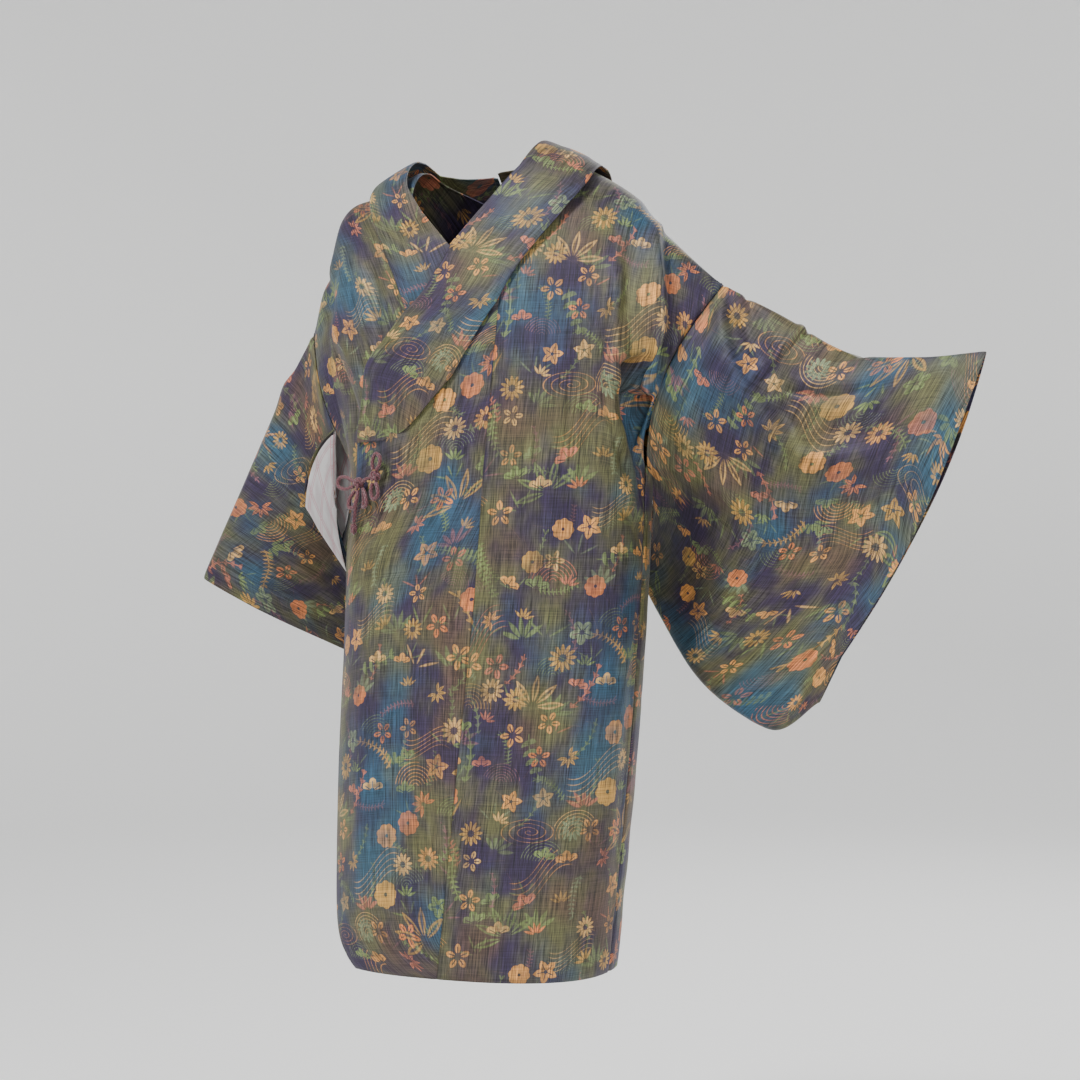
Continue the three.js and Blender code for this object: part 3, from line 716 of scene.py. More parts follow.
def flower_cover(cloth, layer):
    """How far a layer's form covers the ground: petals, leaf pairs or water lines, and its tint."""
    x, y, family = cloth.parts(cloth.attribute(f"{layer}_place").outputs["Vector"])
    one, two, three = cloth.parts(cloth.attribute(f"{layer}_first").outputs["Vector"])
    four, five, six = cloth.parts(cloth.attribute(f"{layer}_second").outputs["Vector"])
    tint = cloth.attribute(f"{layer}_tint")
    vein = Amount(cloth.tree, tint.outputs["Alpha"])
    kind = (family + 0.05).math("FLOOR")
    outline = (family - kind) * 2.5
    radius = (x * x + y * y).math("SQRT")
    angle = y.math("ARCTAN2", x)
    edge = 0.045

    # A petal: half width times a power of one less the square of the place along it.
    sector = (angle * one / (2 * math.pi)).math("ROUND")
    within = angle - sector * (2 * math.pi) / one.most(1)
    px = radius * within.math("COSINE")
    py = abs(radius * within.math("SINE"))
    q = (px - two) / three.most(0.01)
    half = (q * q).flipped().most(0.0).power(five.most(0.1)) * four
    filled = (half - py).soft(-edge * 0.4, edge)
    rim = abs(half - py - 0.02).soft(0.012, 0.045).flipped() * half.soft(0.002, 0.01)
    petal = filled * outline.flipped() + rim * outline
    cut = (py - vein * 0.55).soft(0.0, 0.02)
    cut = cut.most((px - two - three * 0.35).soft(0.0, 0.05)).most(vein.soft(0.001, 0.004).flipped())
    arc = (six * (math.pi / 180) - abs(angle)).soft(0.0, 0.06)
    flower = petal * cut * arc
    eye = (radius - 0.13).soft(0.0, 0.04)
    flower = flower * eye.most(outline)

    # Leaf pairs on a stem that bends as the square of the place along it.
    bent = y - five * (x * x - 0.4)
    side = abs(bent)
    pair = (x.most(-0.8).least(0.75) / one.most(0.02)).math("ROUND") * one
    dx = x - pair
    lean = two * (math.pi / 180)
    cosine = lean.math("COSINE")
    sine = lean.math("SINE")
    along_leaf = dx * cosine + side * sine
    across_leaf = abs(side * cosine - dx * sine)
    shrink = (x + 1.0) * -0.22 + 1.15
    q = along_leaf / (three * shrink).most(0.01) - 1.0
    half = (q * q).flipped().most(0.0).power(0.7) * four * shrink
    filled = (half - across_leaf).soft(-0.012, edge * 0.6)
    rim = abs(half - across_leaf - 0.012).soft(0.008, 0.03).flipped() * half.soft(0.002, 0.01)
    leaf = filled * six.flipped() + rim * six
    stem = side.soft(0.012, 0.032).flipped() * abs(x).soft(0.85, 0.95).flipped()
    spray = leaf.most(stem)

    # Water: lines at even spaces round a middle, or along a swinging curve.
    round_water = radius / one.most(0.02) - angle * five / (2 * math.pi)
    flow = (y - (x * 2.6).math("SINE") * four - x * 0.2) / one.most(0.02)
    is_flow = four.soft(0.05, 0.1)
    count = round_water * is_flow.flipped() + flow * is_flow
    line = abs(count - count.math("ROUND"))
    line = (two - line).soft(-0.06, 0.12) * abs(count).soft(7.4, 7.7).flipped()
    reach = (three * (math.pi / 180) - abs(angle)).soft(0.0, 0.08) * radius.soft(0.93, 0.97).flipped()
    run = abs(x).soft(0.8, 1.0).flipped() * abs(flow).soft(2.3, 2.6).flipped()
    water = line * (reach * is_flow.flipped() + run * is_flow)

    is_flower = kind.soft(0.4, 0.6).flipped()
    is_water = kind.soft(1.4, 1.6)
    is_spray = (is_flower + is_water).flipped()
    return flower * is_flower + spray * is_spray + water * is_water, tint.outputs["Color"]


def outer_cloth():
    """Slub silk: clouds of olive, blue and purple, woven flowers, and fine ribs along the warp."""
    cloth = Material("outer_cloth")
    across, along = cloth.map()
    ribs = cloth.noise(cloth.vector(across * 620, along * 16), 1, 2, 0.6)
    fine = cloth.noise(cloth.vector(across * 1500, along * 60), 1, 1)
    weft = cloth.noise(cloth.vector(across * 22, along * 900), 1, 1)
    cloud = cloth.noise(cloth.vector(across * 13 + 3.1, along * 9), 1, 3, 0.6)
    hue = cloth.noise(cloth.vector(across * 9 - 8.3, along * 7 + 5), 1, 2)
    ground = cloth.blend(cloud.soft(0.40, 0.64), (0.024, 0.015, 0.042), (0.088, 0.086, 0.034))
    ground = cloth.blend(hue.soft(0.50, 0.70) * 0.9, ground, (0.018, 0.066, 0.110))
    ground = cloth.blend(hue.soft(0.30, 0.46).flipped() * 0.8, ground, (0.080, 0.046, 0.030))
    thin, thin_tint = flower_cover(cloth, "ground")
    large, large_tint = flower_cover(cloth, "large")
    small, small_tint = flower_cover(cloth, "small")
    fade = cloth.noise(cloth.vector(across * 26, along * 26 + 9), 1, 2).soft(0.28, 0.62)
    woven = ribs.soft(0.25, 0.6)
    colour = cloth.blend(thin * (fade * 0.4 + 0.3) * (woven * 0.5 + 0.5), ground, thin_tint)
    colour = cloth.blend(large * (fade * 0.55 + 0.25) * (woven * 0.35 + 0.65), colour, large_tint)
    colour = cloth.blend(small * (fade * 0.6 + 0.35) * (woven * 0.35 + 0.65), colour, small_tint)
    shade = ((ribs - 0.5) * 3.2 + (fine - 0.5) * 2.0 + (weft - 0.5) * 1.3 + 0.95).most(0.25)
    colour = cloth.blend(1.0, colour, cloth.vector(shade, shade, shade), "MULTIPLY")
    cloth.link(colour, cloth.shader.inputs["Base Color"])
    cloth.link(ribs * 0.14 + 0.56, cloth.shader.inputs["Roughness"])
    cloth.shader.inputs["Sheen Weight"].default_value = 0.08
    cloth.shader.inputs["Sheen Roughness"].default_value = 0.4
    cloth.shader.inputs["Specular IOR Level"].default_value = 0.4
    cloth.bump(ribs * 0.8 + fine * 0.3 + weft * 0.3 + (small + large) * 0.25, 0.00035)
    return cloth.made


def lining_cloth():
    """Smooth pale lining: double rose lines crossing at even spaces, faint grey checks between them."""
    cloth = Material("lining")
    across, along = cloth.map()

    def double_line(place, space):
        at = place / space
        off = abs(at - at.math("ROUND"))
        return abs(off - 0.06).soft(0.012, 0.03).flipped()

    lines = double_line(across + 0.004, 0.034).most(double_line(along + 0.011, 0.042))
    check = cloth.noise(cloth.vector(across * 40, along * 30), 1, 2)
    thread = cloth.noise(cloth.vector(across * 900, along * 40), 1, 1)
    ground = cloth.blend(check.soft(0.35, 0.65), (0.62, 0.56, 0.57), (0.74, 0.72, 0.72))
    colour = cloth.blend(lines * 0.8, ground, (0.62, 0.27, 0.33))
    cloth.link(colour, cloth.shader.inputs["Base Color"])
    cloth.shader.inputs["Roughness"].default_value = 0.45
    cloth.shader.inputs["Sheen Weight"].default_value = 0.2
    cloth.bump(thread, 0.0001)
    return cloth.made


def braid():
    """Round silk braid: strands that wind both ways and cross, painted shade between them, painted highlights
    on their crowns.
    """
    cord = Material("cord")
    along, turn = cord.map()
    first = abs((along * 210 + turn * 4).math("FRACT") - 0.5) * 2
    second = abs((along * 210 - turn * 4).math("FRACT") - 0.5) * 2
    strands = first.least(second)
    thread = cord.noise(cord.vector(along * 2200, turn * 14), 1, 2)
    # Painted shade: the strands darken towards the grooves between them; painted highlights: lighter threads
    # on their crowns.
    groove_shaded = cord.blend(strands.soft(0.05, 0.5), (0.035, 0.006, 0.012), (0.13, 0.024, 0.036))
    colour = cord.blend(thread.soft(0.5, 0.75) * strands * 0.8, groove_shaded, (0.42, 0.16, 0.15))
    cord.link(colour, cord.shader.inputs["Base Color"])
    cord.shader.inputs["Roughness"].default_value = 0.42
    cord.shader.inputs["Sheen Weight"].default_value = 0.3
    cord.bump(strands * 0.8 + thread * 0.15, 0.0005)
    return cord.made


set_camera()
OUTER = outer_cloth()
LINING = lining_cloth()
BRAID = braid()


# The ties lie on the overlap in a frame of their own: across, up and out.
TIE_ACROSS = np.array([0.921, -0.39, 0])
TIE_OUT = np.array([-0.39, -0.921, 0])
TIE_UP = np.array([0, 0, 1])
TIE_MIDDLE = torso(-0.44, 0.97, 1).reshape(3)


def on_tie(places):
    """Points of the ties' own frame, brought onto the coat."""
    across, up, out = np.array(places, float).T[..., None]
    return TIE_MIDDLE + across * TIE_ACROSS + out * TIE_OUT + up * TIE_UP


def route(places, steps=12):
    """A curve through the points: cubics whose slopes are weighted by the root of the points' distances."""
    points = on_tie(places)
    points = np.concatenate([[2 * points[0] - points[1]], points, [2 * points[-1] - points[-2]]])
    t = np.linspace(0, 1, steps, endpoint=False)[:, None]
    pieces = []
    for k in range(1, len(points) - 2):
        before, start, end, after = points[k - 1 : k + 3]
        gaps = [math.sqrt(np.linalg.norm(b - a)) for a, b in ((before, start), (start, end), (end, after))]
        leave = (start - before) / gaps[0] - (end - before) / (gaps[0] + gaps[1]) + (end - start) / gaps[1]
        arrive = (end - start) / gaps[1] - (after - start) / (gaps[1] + gaps[2]) + (after - end) / gaps[2]
        leave, arrive = leave * gaps[1], arrive * gaps[1]
        bend = -3 * start + 3 * end - 2 * leave - arrive
        pieces.append(start + t * (leave + t * (bend + t * (2 * start - 2 * end + leave + arrive))))
    return np.concatenate([*pieces, points[-2:-1]])


LOOPS = {
    "tie_link": [[14.6, 2, 7], [20, 5, 7.5], [25.6, 6, 6]],
    "tie_bow_loop_side": [
        [-0.3, 2.5, 8], [-10, 8, 12], [-20, 6, 14], [-21, -2, 14], [-12, -6, 12], [-0.3, -3, 8],
    ],
    "tie_bow_loop_near": [
        [3.2, -7.8, 9], [-2, -18, 13], [-2, -27, 14], [5, -27, 12.5], [9, -17, 11.5], [8.8, -8.2, 9.5],
    ],
    "tie_bow_loop_far": [
        [13.1, -5.8, 6], [20, -13, 8], [22, -23, 8], [15, -27, 6.5], [13, -18, 4.4], [11.6, -7.6, 4],
    ],
    "tie_ornament_loop_up": [
        [31.5, 15.4, 6], [31, 25, 7], [37, 34, 6.5], [43, 30, 6], [41, 20, 5.5], [37, 15.2, 6],
    ],
    "tie_ornament_loop_down": [
        [31.5, 0.6, 7], [30, -9, 8], [34, -18, 8], [41, -14, 7.5], [40, -5, 7], [37, 0.6, 7],
    ],
}
TAIL = [[2.8, -7.2, 4], [0, -20, 4.2], [-2.5, -32, 4.2], [-4, -44.6, 4.8]]
# Knots: their middle, half sizes, and how often the strand winds round and in and out.
KNOTS = {
    "tie_bow_knot": ([7, 0, 7], [7, 8, 6], 3, 2),
    "tie_ornament_knot": ([34, 8, 5.6], [8, 7, 5.5], 5, 3),
    "tie_tail_end": ([-4, -52, 5], [4, 7, 4], 4, 3),
}


def dress(piece, slot, *nodes):
    """Lets a piece move with the coat and puts it in the place of its solids; the finish it is given, slot,
    is not used.
    """
    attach(piece, "root")
    if nodes:
        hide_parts(*nodes)
    return piece


def knot(name, middle, size, lobes, winds):
    """A closed strand wound round an egg: lobes over and under while it goes round the middle a few times."""
    strand = 1.75 if min(size) > 5 else 1.35
    t = np.linspace(0, 2 * np.pi, 241)
    wide = 0.66 + 0.34 * np.cos(lobes * t)
    place = np.stack([wide * np.cos(winds * t), wide * np.sin(winds * t), np.sin(lobes * t) * 0.8], -1)
    path = on_tie(place * (np.array(size) - strand) + np.array(middle))
    rise = np.linspace(-1, 1, 9)
    bulge = np.sqrt(np.maximum(1 - rise**2, 0.04))
    core = on_tie([(middle[0], middle[1] + up * size[1] * 0.6, middle[2]) for up in rise])
    winding = dress(tube(f"{name}_winding", path, strand, BRAID, sides=10), "cord", name)
    inside = dress(tube(f"{name}_core", core, min(size) * 0.62, BRAID, taper=bulge), "cord")
    return [winding, inside]


knots = {node: knot(node, *numbers) for node, numbers in KNOTS.items()}
for node, places in LOOPS.items():
    dress(tube(f"{node}_braid", route(places), CORD_RADIUS, BRAID), "cord", node)
tail_path = route(TAIL)
tail = dress(tube("tie_tail_braid", tail_path, CORD_RADIUS, BRAID), "cord", "tie_tail")
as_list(knots["tie_tail_end"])


def steps(count):
    """Even steps from 0 to 1, with a few short ones at each edge for its turned fold."""
    return np.concatenate([[0, 0.004, 0.010], np.linspace(0.02, 0.98, count), [0.990, 0.996, 1]])


def flat_cut(points, start_across, start_along, over_shoulder=False):
    """The flat cut in metres: the lengths of the grid's lines across and along, from where the cut starts.

    A cut that goes over the shoulder is measured up from both hems, and the difference lies about the ridge.
    """
    across = np.linalg.norm(np.diff(points, axis=1), axis=2).cumsum(1)
    along = np.linalg.norm(np.diff(points, axis=0), axis=2).cumsum(0)
    across = np.pad(across, ((0, 0), (1, 0))) * MM + start_across
    along = np.pad(along, ((1, 0), (0, 0))) * MM + start_along
    if over_shoulder:
        behind = along - along[-1:] + along[-1].mean()
        along = mix(along, behind, smooth((np.linspace(0, 1, len(along)) - 0.5) / 0.25)[:, None])
    return np.stack([across, along], -1)


def crease_height(flat, creases):
    """The sum of the creases: each a bell across a bowed line, steeper on one side, fading towards its ends.

    A crease with two more numbers has its own shares of its length over which it rises and fades.
    """
    height = np.zeros(flat.shape[:2])
    for x, y, to_x, to_y, bow, width, rise, steep, *ends in creases:
        opening, closing = ends or (0.25, 0.3)
        line = np.array([to_x - x, to_y - y]) / 100
        length = np.linalg.norm(line)
        ahead = line / length
        offset = flat - np.array([x, y]) / 100
        t = (offset @ ahead) / length
        held = np.clip(t, 0, 1)
        off = offset @ np.array([-ahead[1], ahead[0]]) - bow / 100 * 4 * held * (1 - held)
        off = off + 0.12 * width / 100 * np.sin(7 * t + x)
        spread = np.where(off > 0, width, width * steep) / 100 * (0.75 + 0.5 * held)
        past = np.maximum(np.abs(t - 0.5) - 0.5, 0) * length / (width / 100)
        fade = smooth(held / opening) * smooth((1 - held) / closing) * np.exp(-(past**2))
        height += rise * fade * np.exp(-((off / spread) ** 2))
    return height


def soft_waves(flat, seed):
    """Shallow unevenness of hanging cloth: a few long sines, mostly down the cloth, with uneven spaces."""
    x, y = flat[..., 0], flat[..., 1]
    height = np.zeros(flat.shape[:2])
    for k in range(6):
        pick = scattered(seed + 3.7 * k + np.array([0.0, 1.0, 2.0]))
        phase = x * (22 + 34 * pick[0]) + y * (pick[1] - 0.5) * 14 + 6.28 * pick[2]
        height += (0.9 - 0.1 * k) * np.sin(phase)
    for k in range(4):
        pick = scattered(seed + 9.1 * k + np.array([0.3, 1.3, 2.3]))
        height += 0.25 * np.sin(y * (45 + 50 * pick[0]) + x * (pick[1] - 0.5) * 30 + 6.28 * pick[2])
    return height


# How the cloth ends, in millimetres over distances in metres: creases come up within the ease of an edge, a
# sewn edge sinks with a low ridge beside it, and a free edge is rounded off.
EDGE_EASE = 0.014
EDGE_CREASE_SHARE = 0.2
SEWN_DEPTH = 1.3
SEWN_WIDTH = 0.0022
RIDGE_HEIGHT = 0.35
RIDGE_PLACE = 0.006
RIDGE_WIDTH = 0.003
FREE_DEPTH = 0.5
FREE_WIDTH = 0.0016
# The grid's lines at each edge and beside it, and how far a sewn edge reaches to meet its neighbour.
EDGE_LINES = {
    "left": (np.s_[:, 0], np.s_[:, 1]),
    "right": (np.s_[:, -1], np.s_[:, -2]),
    "start": (0, 1),
    "end": (-1, -2),
}
SEAM_REACH = 0.7


def cloth_piece(name, nodes, points, start, creases=(), outward=1, seams="", waves=0.5, finish=None):
    """A thin shell on a solid's form: the grid moved out by its creases, and a second one a thickness behind.

    The normal is the cross product of the grid's steps across and along. Seams names the edges that are sewn.
    """
    flat = flat_cut(points, *start, over_shoulder=name.startswith("body"))
    rows, columns = flat.shape[:2]
    normal = unit(np.cross(np.gradient(points, axis=1), np.gradient(points, axis=0)))
    height = crease_height(flat, creases) + waves * soft_waves(flat, start[0] * 31 + start[1] * 7)
    edges = {
        "left": flat[..., 0] - flat[:, :1, 0],
        "right": flat[:, -1:, 0] - flat[..., 0],
        "start": flat[..., 1] - flat[:1, :, 1],
        "end": flat[-1:, :, 1] - flat[..., 1],
    }
    for distance in edges.values():
        height *= mix(EDGE_CREASE_SHARE, 1, smooth(distance / EDGE_EASE))
    for edge, distance in edges.items():
        if edge in seams:
            height -= SEWN_DEPTH * bump(distance, 0, SEWN_WIDTH)
            height += RIDGE_HEIGHT * bump(distance, RIDGE_PLACE, RIDGE_WIDTH)
        else:
            height -= FREE_DEPTH * bump(distance, 0, FREE_WIDTH)
    outer = points + normal * (outward * height)[..., None]
    for edge, (last, before) in EDGE_LINES.items():
        if edge in seams:
            outer[last] += unit(outer[last] - outer[before]) * SEAM_REACH
    turned = unit(np.cross(np.gradient(outer, axis=1), np.gradient(outer, axis=0)))
    front = outer.reshape(-1, 3)
    back = (outer - turned * CLOTH_THICKNESS).reshape(-1, 3)
    count = rows * columns
    faces = quads(rows, columns)
    index = np.arange(count).reshape(rows, columns)
    loop = np.concatenate([index[0], index[1:, -1], index[-1, -2::-1], index[-2:0:-1, 0]])
    following = np.roll(loop, -1)
    rim = np.stack([following, loop, loop + count, following + count], -1)
    all_faces = np.concatenate([faces, faces[:, ::-1] + count, rim]).tolist()
    made = new_object(f"{name}_cloth", np.concatenate([front, back]) * MM, all_faces, finish or OUTER)
    set_map(made.data, np.concatenate([flat.reshape(-1, 2)] * 2)[face_corners(made.data)])
    polygons = made.data.polygons
    smoothness = np.arange(len(polygons)) < len(faces) * 2
    polygons.foreach_set("use_smooth", smoothness)
    for layer in LAYERS:
        weave_flowers(made.data, *layer)
    return dress(made, "lining" if finish is LINING else "outer_cloth", *nodes.split())


def grid(columns, rows, surface):
    """Points of a surface of two parameters, at the steps across and along."""
    u, v = np.meshgrid(steps(columns), steps(rows))
    return surface(u, v)


def body_left(u, v):
    """The left panel: from the inner column to the side seam, and from the front hem over the ridge."""
    reach = panel_reach(v)
    return lifted(np.minimum(mix(inner_column(reach), 1, u), SIDE_SEAM), reach, 0.0)


def body_right(u, v):
    """The right panel: mirrored columns, with its front a little under the left overlap."""
    reach = panel_reach(v)
    column = -mix(SIDE_SEAM, inner_column(reach), u)
    return lifted(column, reach, np.where(reach < 2, underlay(column, reach), 0))


def overlap_left(u, v):
    """The left overlap: from its free edge to the seam, swung out towards the hem at the wearer's right."""
    level = v * OVERLAP_TOP
    seam = read(OVERLAP_SEAM, "level", level, "column") - OVERLAP_COLUMN
    column = mix(read(LAP_EDGE, "level", level, "column"), seam, u)
    flare = OVERLAP_FLARE * np.maximum(0, (-column - 0.35) / 0.45) ** 2 * np.maximum(0, 0.9 - level)
    return lifted(column, level, flare)


def overlap_right(u, v):
    """The right overlap, under the left front."""
    level = v * OVERLAP_TOP
    seam = read(OVERLAP_SEAM, "level", level, "column") - OVERLAP_COLUMN
    column = mix(-seam, -UNDERLAP_SHARE * read(LAP_EDGE, "level", level, "column"), u)
    return lifted(column, level, underlay(column, level))


def collar(side, end, ground):
    """A collar half between its fold line and its outer edge, at its lift over what it lies on."""

    def surface(u, v):
        along = mix(end, 0, v)
        across = u if side > 0 else 1 - u
        column, reach = (
            mix(course(COLLAR, along, f"fold_{name}"), course(COLLAR, along, f"edge_{name}"), across)
            for name in ("column", "reach")
        )
        covered = 20 if side > 0 else mix(RIGHT_COLLAR_LIFT, 20, smooth((reach - 1.74) / 0.15))
        lift = np.minimum(course(COLLAR, along, "lift") * (1 - 0.2 * across), covered)
        return lifted(side * (column + OVERLAP_COLUMN), reach, lift + ground(side * column, reach))

    return surface


def sleeve(side):
    """A sleeve: from the armhole to the cuff, and round from the back layer's lower edge to the front's."""
    return lambda u, v: sleeve_point(side, u if side > 0 else 1 - u, 2 * v - 1)


def inside_sleeve(reach, first, last, lift):
    """What shows inside the right sleeve: a stretch of a layer, as far in as the reach, lifted off it."""
    step = 0.01

    def surface(u, v):
        across = mix(reach, 0.015, u)
        down = mix(first, last, v)
        along = sleeve_point(-1, across, down + step) - sleeve_point(-1, across, down - step)
        inwards = sleeve_point(-1, across - step, down) - sleeve_point(-1, across + step, down)
        return sleeve_point(-1, across, down) + unit(np.cross(inwards, along)) * lift

    return surface


# Creases on the flat cut, in centimetres: where a crease starts and ends, how far its middle bows to
# the side, its half width, its rise or fall in millimetres, and how much wider it is on its other side. Two
# more numbers are the shares of its length over which it rises and fades.
BODY_LEFT_CREASES = (
    (12.2, 72, 11.6, 38, 0.5, 0.55, -4.8, 1.6),
    (11.6, 42, 12.2, 8, -0.2, 0.45, -3.9, 1.8),
    (13, 70, 12.4, 22, 0.4, 0.6, 3.3, 1.5),
    (15.5, 82, 15.8, 62, 1.2, 1, 5.1, 1.3),
    (19.6, 93, 24.6, 66.4, 0.5, 0.7, 19, 3.6, 0.45, 0.05),
    (20, 71, 22, 55, 0.4, 1.5, -30, 1.3, 0.05, 0.8),
    (23.4, 66.8, 24.2, 50, 0.2, 1.2, -14, 1.2, 0.04, 0.7),
    (15.4, 84, 18.4, 66.5, 0.6, 1, 8, 2, 0.4, 0.12),
    (16.4, 65.5, 22.4, 56.6, 0.4, 0.6, 4.5, 1.4),
    (15.8, 63.5, 21.5, 55, 0.3, 0.55, -3.9, 1.3),
    (18.5, 55.5, 24.8, 51.2, 0.5, 0.6, 3.9, 1.3),
    (18, 53.8, 24, 49.3, 0.4, 0.5, -3.3, 1.4),
    (20.5, 48, 27, 45.2, 0.4, 0.8, 3, 1.5),
    (5, 49.4, 13, 45.6, -0.5, 0.35, 1.4, 1.6),
    (5.5, 48.6, 13.5, 44.9, -0.5, 0.3, -1.4, 1.6),
    (13, 33, 24, 34.2, 0.4, 0.35, -1.4, 1.4),
    (13.5, 21, 25, 20.2, 0.3, 0.35, 1.4, 1.4),
    (26.5, 60, 28.5, 12, 0.8, 1.6, -3.9, 1.4),
    (22, 44, 22.8, 6, -0.6, 1.5, 3.3, 1.3),
    (6.5, 36, 7.2, 2, 0.5, 1.2, 2.4, 1.5),
    (9, 122, 9.6, 188, 0.6, 1.2, -3, 1.4),
    (17, 118, 17.8, 192, -0.7, 1.4, 3.6, 1.4),
    (23, 128, 22, 186, 0.8, 1.3, -3.3, 1.5),
    (26.5, 116, 18, 132, 0.8, 1, 4.5, 1.3),
    (4, 150, 28, 152.5, 0.6, 0.5, -1.4, 1.4),
)
BODY_RIGHT_CREASES = (
    (22.2, 110, 18.6, 97, 0.4, 0.8, -5.1, 1.5),
    (20.6, 111, 17, 96, 0.5, 0.9, 4.5, 1.3),
    (12, 104, 16, 90, 0.7, 0.8, 4.8, 1.4),
    (10.5, 100, 14.2, 87, 0.6, 0.7, -4.5, 1.3),
    (13, 116, 11, 101, 0.5, 1, -4.5, 1.4),
    (27, 145, 26.2, 214, -0.6, 1.3, 3.3, 1.4),
    (20, 150, 20.8, 218, 0.7, 1.2, -3.3, 1.4),
    (13.5, 142, 13, 206, 0.6, 1.3, 3.6, 1.5),
    (9, 146, 16.5, 158, -0.8, 1, -3.9, 1.3),
    (8, 177, 30, 179, 0.6, 0.5, 1.4, 1.4),
)
OVERLAP_LEFT_CREASES = (
    (12.5, 79, 21, 66, 0.8, 0.9, 3.6, 1.4),
    (12, 76, 19, 61, 0.8, 0.8, -3.3, 1.3),
    (11.8, 73, 15, 52, -0.5, 0.9, 2.8, 1.4),
    (14.5, 58, 27, 60.2, -0.6, 0.35, -1.5, 1.5),
    (15.5, 57, 28, 59.3, -0.6, 0.35, 1.4, 1.5),
    (13, 38, 26, 37.2, 0.4, 0.35, -1.4, 1.4),
    (16.5, 50, 17.2, 17, 0.6, 1.2, 2.5, 1.4),
    (23.5, 54, 22.8, 15, -0.5, 1.3, -2.4, 1.5),
    (20, 46, 20.4, 14, 0.4, 0.9, -1.8, 1.4),
)
SLEEVE_LEFT_CREASES = (
    (2.6, 66.4, 19, 77, 0.8, 2.4, 11, 0.25, 0.15, 0.15),
    (17, 76.2, 31, 77.6, 1, 2.2, 8, 0.4, 0.2, 0.5),
    (4.4, 64.6, 20, 74.8, 0.8, 1.1, -8, 2.2, 0.2, 0.3),
    (19, 73.6, 29, 74.4, 1, 1, -5, 1.8, 0.3, 0.5),
    (13.2, 62.6, 11.5, 72.4, -0.3, 0.35, -4.5, 1.5, 0.12, 0.1),
    (12.4, 62.8, 10.7, 72.2, -0.3, 0.6, 3.4, 2, 0.12, 0.1),
    (3, 62.5, 7.8, 66, 0.2, 0.4, -3.6, 1.6),
    (15.5, 66.5, 27, 63.5, -0.5, 0.5, -3, 1.6),
    (13.6, 71.4, 23.6, 69.8, -0.4, 0.6, -3.9, 1.8),
    (14, 70.2, 25, 68.6, -0.4, 0.7, 4.2, 1.5),
    (13.6, 73.6, 18.6, 75.4, -0.3, 0.9, -5.4, 1.2),
    (3.4, 78.5, 16, 89, 0.9, 1.5, 3.3, 1.5),
    (22, 84, 27, 106, -1, 1.8, 3.3, 1.5),
    (28, 80, 33, 97, -0.9, 1.6, -3.3, 1.5),
    (9, 88, 14, 106, -0.8, 1.4, -2.8, 1.5),
    (5, 58, 20, 44, 0.9, 1.2, 4.8, 1.6),
    (7, 53, 22, 37, 0.8, 1.2, -4.5, 1.5),
    (24, 56, 28, 32, -0.9, 1.5, 3.9, 1.5),
    (32, 54, 34, 34, 0.8, 1.3, -3.3, 1.5),
)
SLEEVE_RIGHT_CREASES = (
    (40, 84, 30, 88, -0.5, 0.9, 2, 1.4),
    (24, 86, 20, 104, 0.6, 1.1, 3, 1.5),
    (30, 90, 27, 110, 0.6, 1, -2.8, 1.5),
    (44, 77, 33, 70, 0.7, 1.1, 4.5, 1.5),
    (42, 72, 30, 60, 0.7, 1.1, -4.2, 1.5),
    (24, 74, 21, 52, -0.6, 1.3, 3.3, 1.5),
)
COLLAR_LEFT_CREASES = (
    (12.5, 72, 13.5, 34, 0.6, 1.2, 1.5, 1.6),
    (9.6, 52, 9.9, 16, -0.3, 0.8, -1.2, 1.6),
    (16.5, 20, 11.5, 31, 0.5, 0.9, 1.4, 1.5),
)

# What shows inside the right sleeve: the lining and its facing on the back layer, and a lining of its own on
# the front layer, whose inner edge is turned over.
LINING_FORM = inside_sleeve(0.5, -0.74, -0.2, LINING_LIFT)
FACING_FORM = inside_sleeve(0.3, -0.84, -0.76, LINING_LIFT)
TURNED_FORM = inside_sleeve(0.26, 0.45, 0.76, TURNED_LIFT)

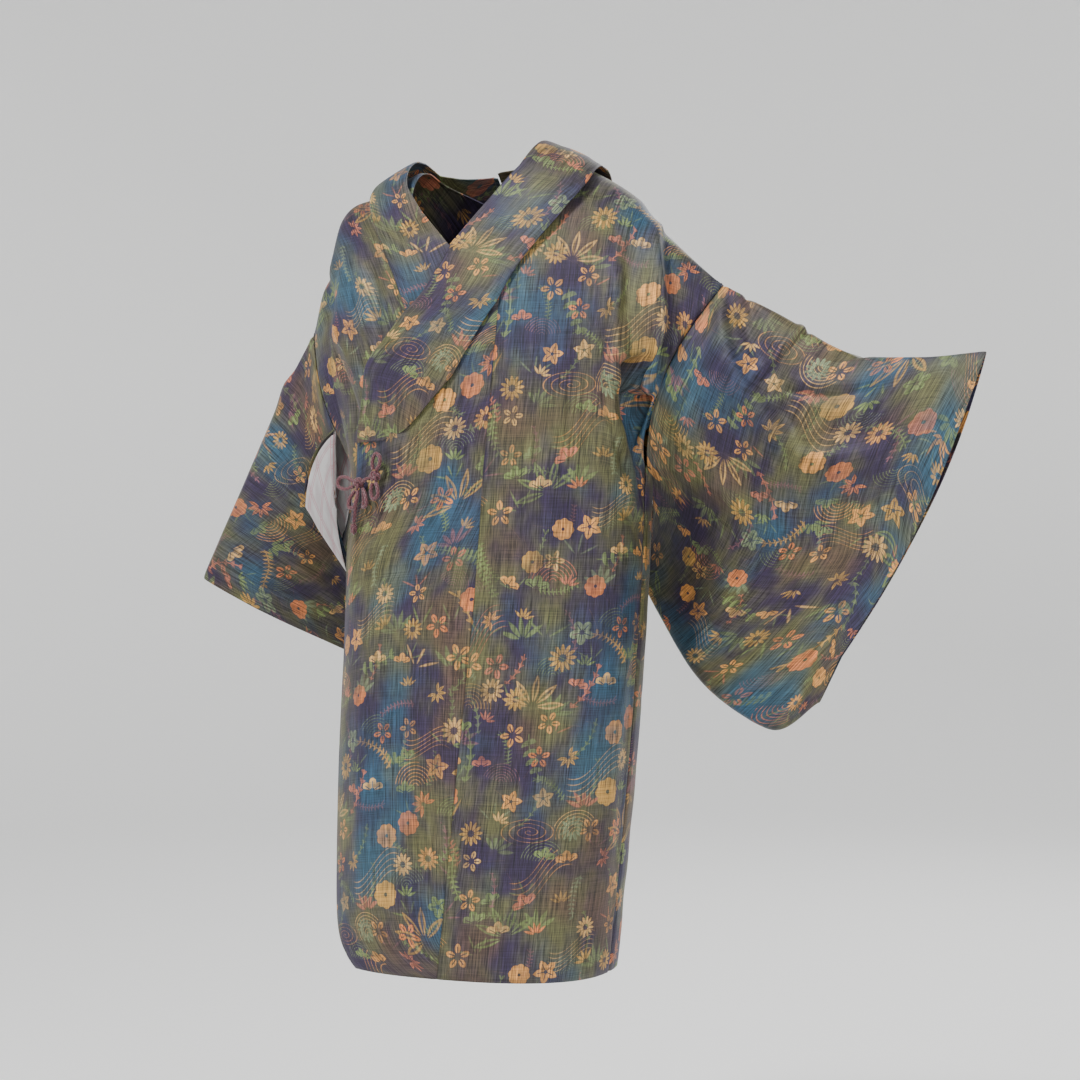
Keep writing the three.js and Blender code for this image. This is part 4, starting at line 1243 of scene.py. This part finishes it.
# Each piece of cloth: its name, its solids, its grid and where its cut starts on the bolt; its creases, the
# side that is out, its sewn edges, its unevenness and its finish; its width and length in metres, its area
# and how it is held.
CUTS = (
    (
        ("body_left", "body_left_front body_left_back", grid(112, 400, body_left), (0.03, 0.0)),
        (BODY_LEFT_CREASES, 1, "left right"),
        (0.31, 1.92, 0.53, "hung"),
    ),
    (
        ("body_right", "body_right_front body_right_back", grid(80, 300, body_right), (0.05, 0.27)),
        (BODY_RIGHT_CREASES, 1, "left right"),
        (0.31, 1.92, 0.53, "hung"),
    ),
    (
        ("overlap_left", "overlap_left", grid(90, 220, overlap_left), (0.10, 0.12)),
        (OVERLAP_LEFT_CREASES, 1, "right"),
        (0.24, 0.94, 0.16, "hung"),
    ),
    (
        ("overlap_right", "overlap_right", grid(44, 120, overlap_right), (0.0, 0.4)),
        ((), 1, "left", 0.2),
        (0.24, 0.94, 0.16, "hung"),
    ),
    (
        ("collar_left", "collar_left", grid(40, 200, collar(1, 1, lambda column, reach: 0)), (0.08, 0.05)),
        (COLLAR_LEFT_CREASES, 1, "end", 0.3),
        (0.12, 0.66, 0.055, "folded"),
    ),
    (
        ("collar_right", "collar_right", grid(30, 130, collar(-1, RIGHT_COLLAR_END, underlay)), (0.2, 0.31)),
        ((), 1, "end", 0.0),
        (0.12, 0.66, 0.05, "folded"),
    ),
    (
        ("sleeve_left", "sleeve_left_front sleeve_left_back", grid(124, 360, sleeve(1)), (0.02, 0.2)),
        (SLEEVE_LEFT_CREASES, -1, "left"),
        (0.33, 0.98, 0.29, "hung"),
    ),
    (
        ("sleeve_right", "sleeve_right", grid(84, 260, sleeve(-1)), (0.14, 0.38)),
        (SLEEVE_RIGHT_CREASES, -1, "right"),
        (0.33, 0.98, 0.18, "hung"),
    ),
    (
        ("sleeve_right_lining", "sleeve_right_lining", grid(44, 60, LINING_FORM), (0.0, 0.0)),
        ((), 1, "", 0.1, LINING),
        (0.17, 0.2, 0.015, "hung"),
    ),
    (
        ("sleeve_right_turned_lining", "", grid(30, 44, TURNED_FORM), (0.0, 0.1)),
        ((), 1, "", 0.1, LINING),
        (0.11, 0.13, 0.006, "hung"),
    ),
    (
        ("sleeve_right_facing", "sleeve_right_facing", grid(26, 24, FACING_FORM), (0.21, 0.2)),
        ((), 1, "", 0.1),
        (0.1, 0.02, 0.0016, "hung"),
    ),
)
for shape, finish, (width, length, area, held) in CUTS:
    made = cloth_piece(*shape, *finish)

floor_material = Material("studio_floor")
floor_material.shader.inputs["Base Color"].default_value = (0.86, 0.86, 0.85, 1)
floor_material.shader.inputs["Roughness"].default_value = 0.9
floor_material.shader.inputs["Emission Color"].default_value = (1, 1, 1, 1)
floor_material.shader.inputs["Emission Strength"].default_value = 0.2


# The floor's height in metres, and the sides of its rings.
FLOOR_Z = -1.35
FLOOR_SIDES = 64


def studio():
    """A pale dish: a flat floor below the coat whose rim curves up into a low wall all round."""
    bend = np.linspace(0.1, 1, 12) * np.pi / 2
    radius = np.concatenate([[0.4, 1.5, 3.0, 4.5], 4.5 + 1.5 * np.sin(bend), [6.0]])[:, None]
    height = np.concatenate([[0, 0, 0, 0], 1.5 - 1.5 * np.cos(bend), [3.4]])[:, None]
    turn = np.linspace(0, 2 * np.pi, FLOOR_SIDES, endpoint=False)
    rings = np.stack(np.broadcast_arrays(radius * np.cos(turn), radius * np.sin(turn), height), -1)
    points = np.concatenate([rings.reshape(-1, 3), [[0, 0, 0]]]) + (0, 0, FLOOR_Z)
    faces = quads(len(radius), FLOOR_SIDES, closed=True)[:, ::-1].tolist()
    middle = [[k, (k + 1) % FLOOR_SIDES, len(points) - 1] for k in range(FLOOR_SIDES)]
    new_object("studio", points, faces + middle, floor_material.made)


LAMP_AIM = (0, 0, -0.4)


def lamp(name, place, size, power):
    """A square soft lamp that faces the coat's middle."""
    light = bpy.data.lights.new(name, "AREA")
    light.size = size
    light.energy = power
    holder = bpy.data.objects.new(name, light)
    holder.location = place
    x, y, z = np.array(LAMP_AIM) - np.array(place)
    holder.rotation_euler = (math.atan2(math.hypot(x, y), -z), 0, math.atan2(-x, y))
    bpy.context.collection.objects.link(holder)


studio()
lamp("key", (-0.6, -2.2, 2.6), 0.6, 175)
lamp("fill", (2.8, -2.4, 1.0), 1.6, 45)
lamp("back", (0.8, 3.2, 2.0), 1.6, 110)
world = bpy.data.worlds.new("pale_room")
world.use_nodes = True
world.node_tree.nodes["Background"].inputs["Color"].default_value = (0.95, 0.96, 1, 1)
world.node_tree.nodes["Background"].inputs["Strength"].default_value = 0.22
bpy.context.scene.world = world

bpy.context.view_layer.update()
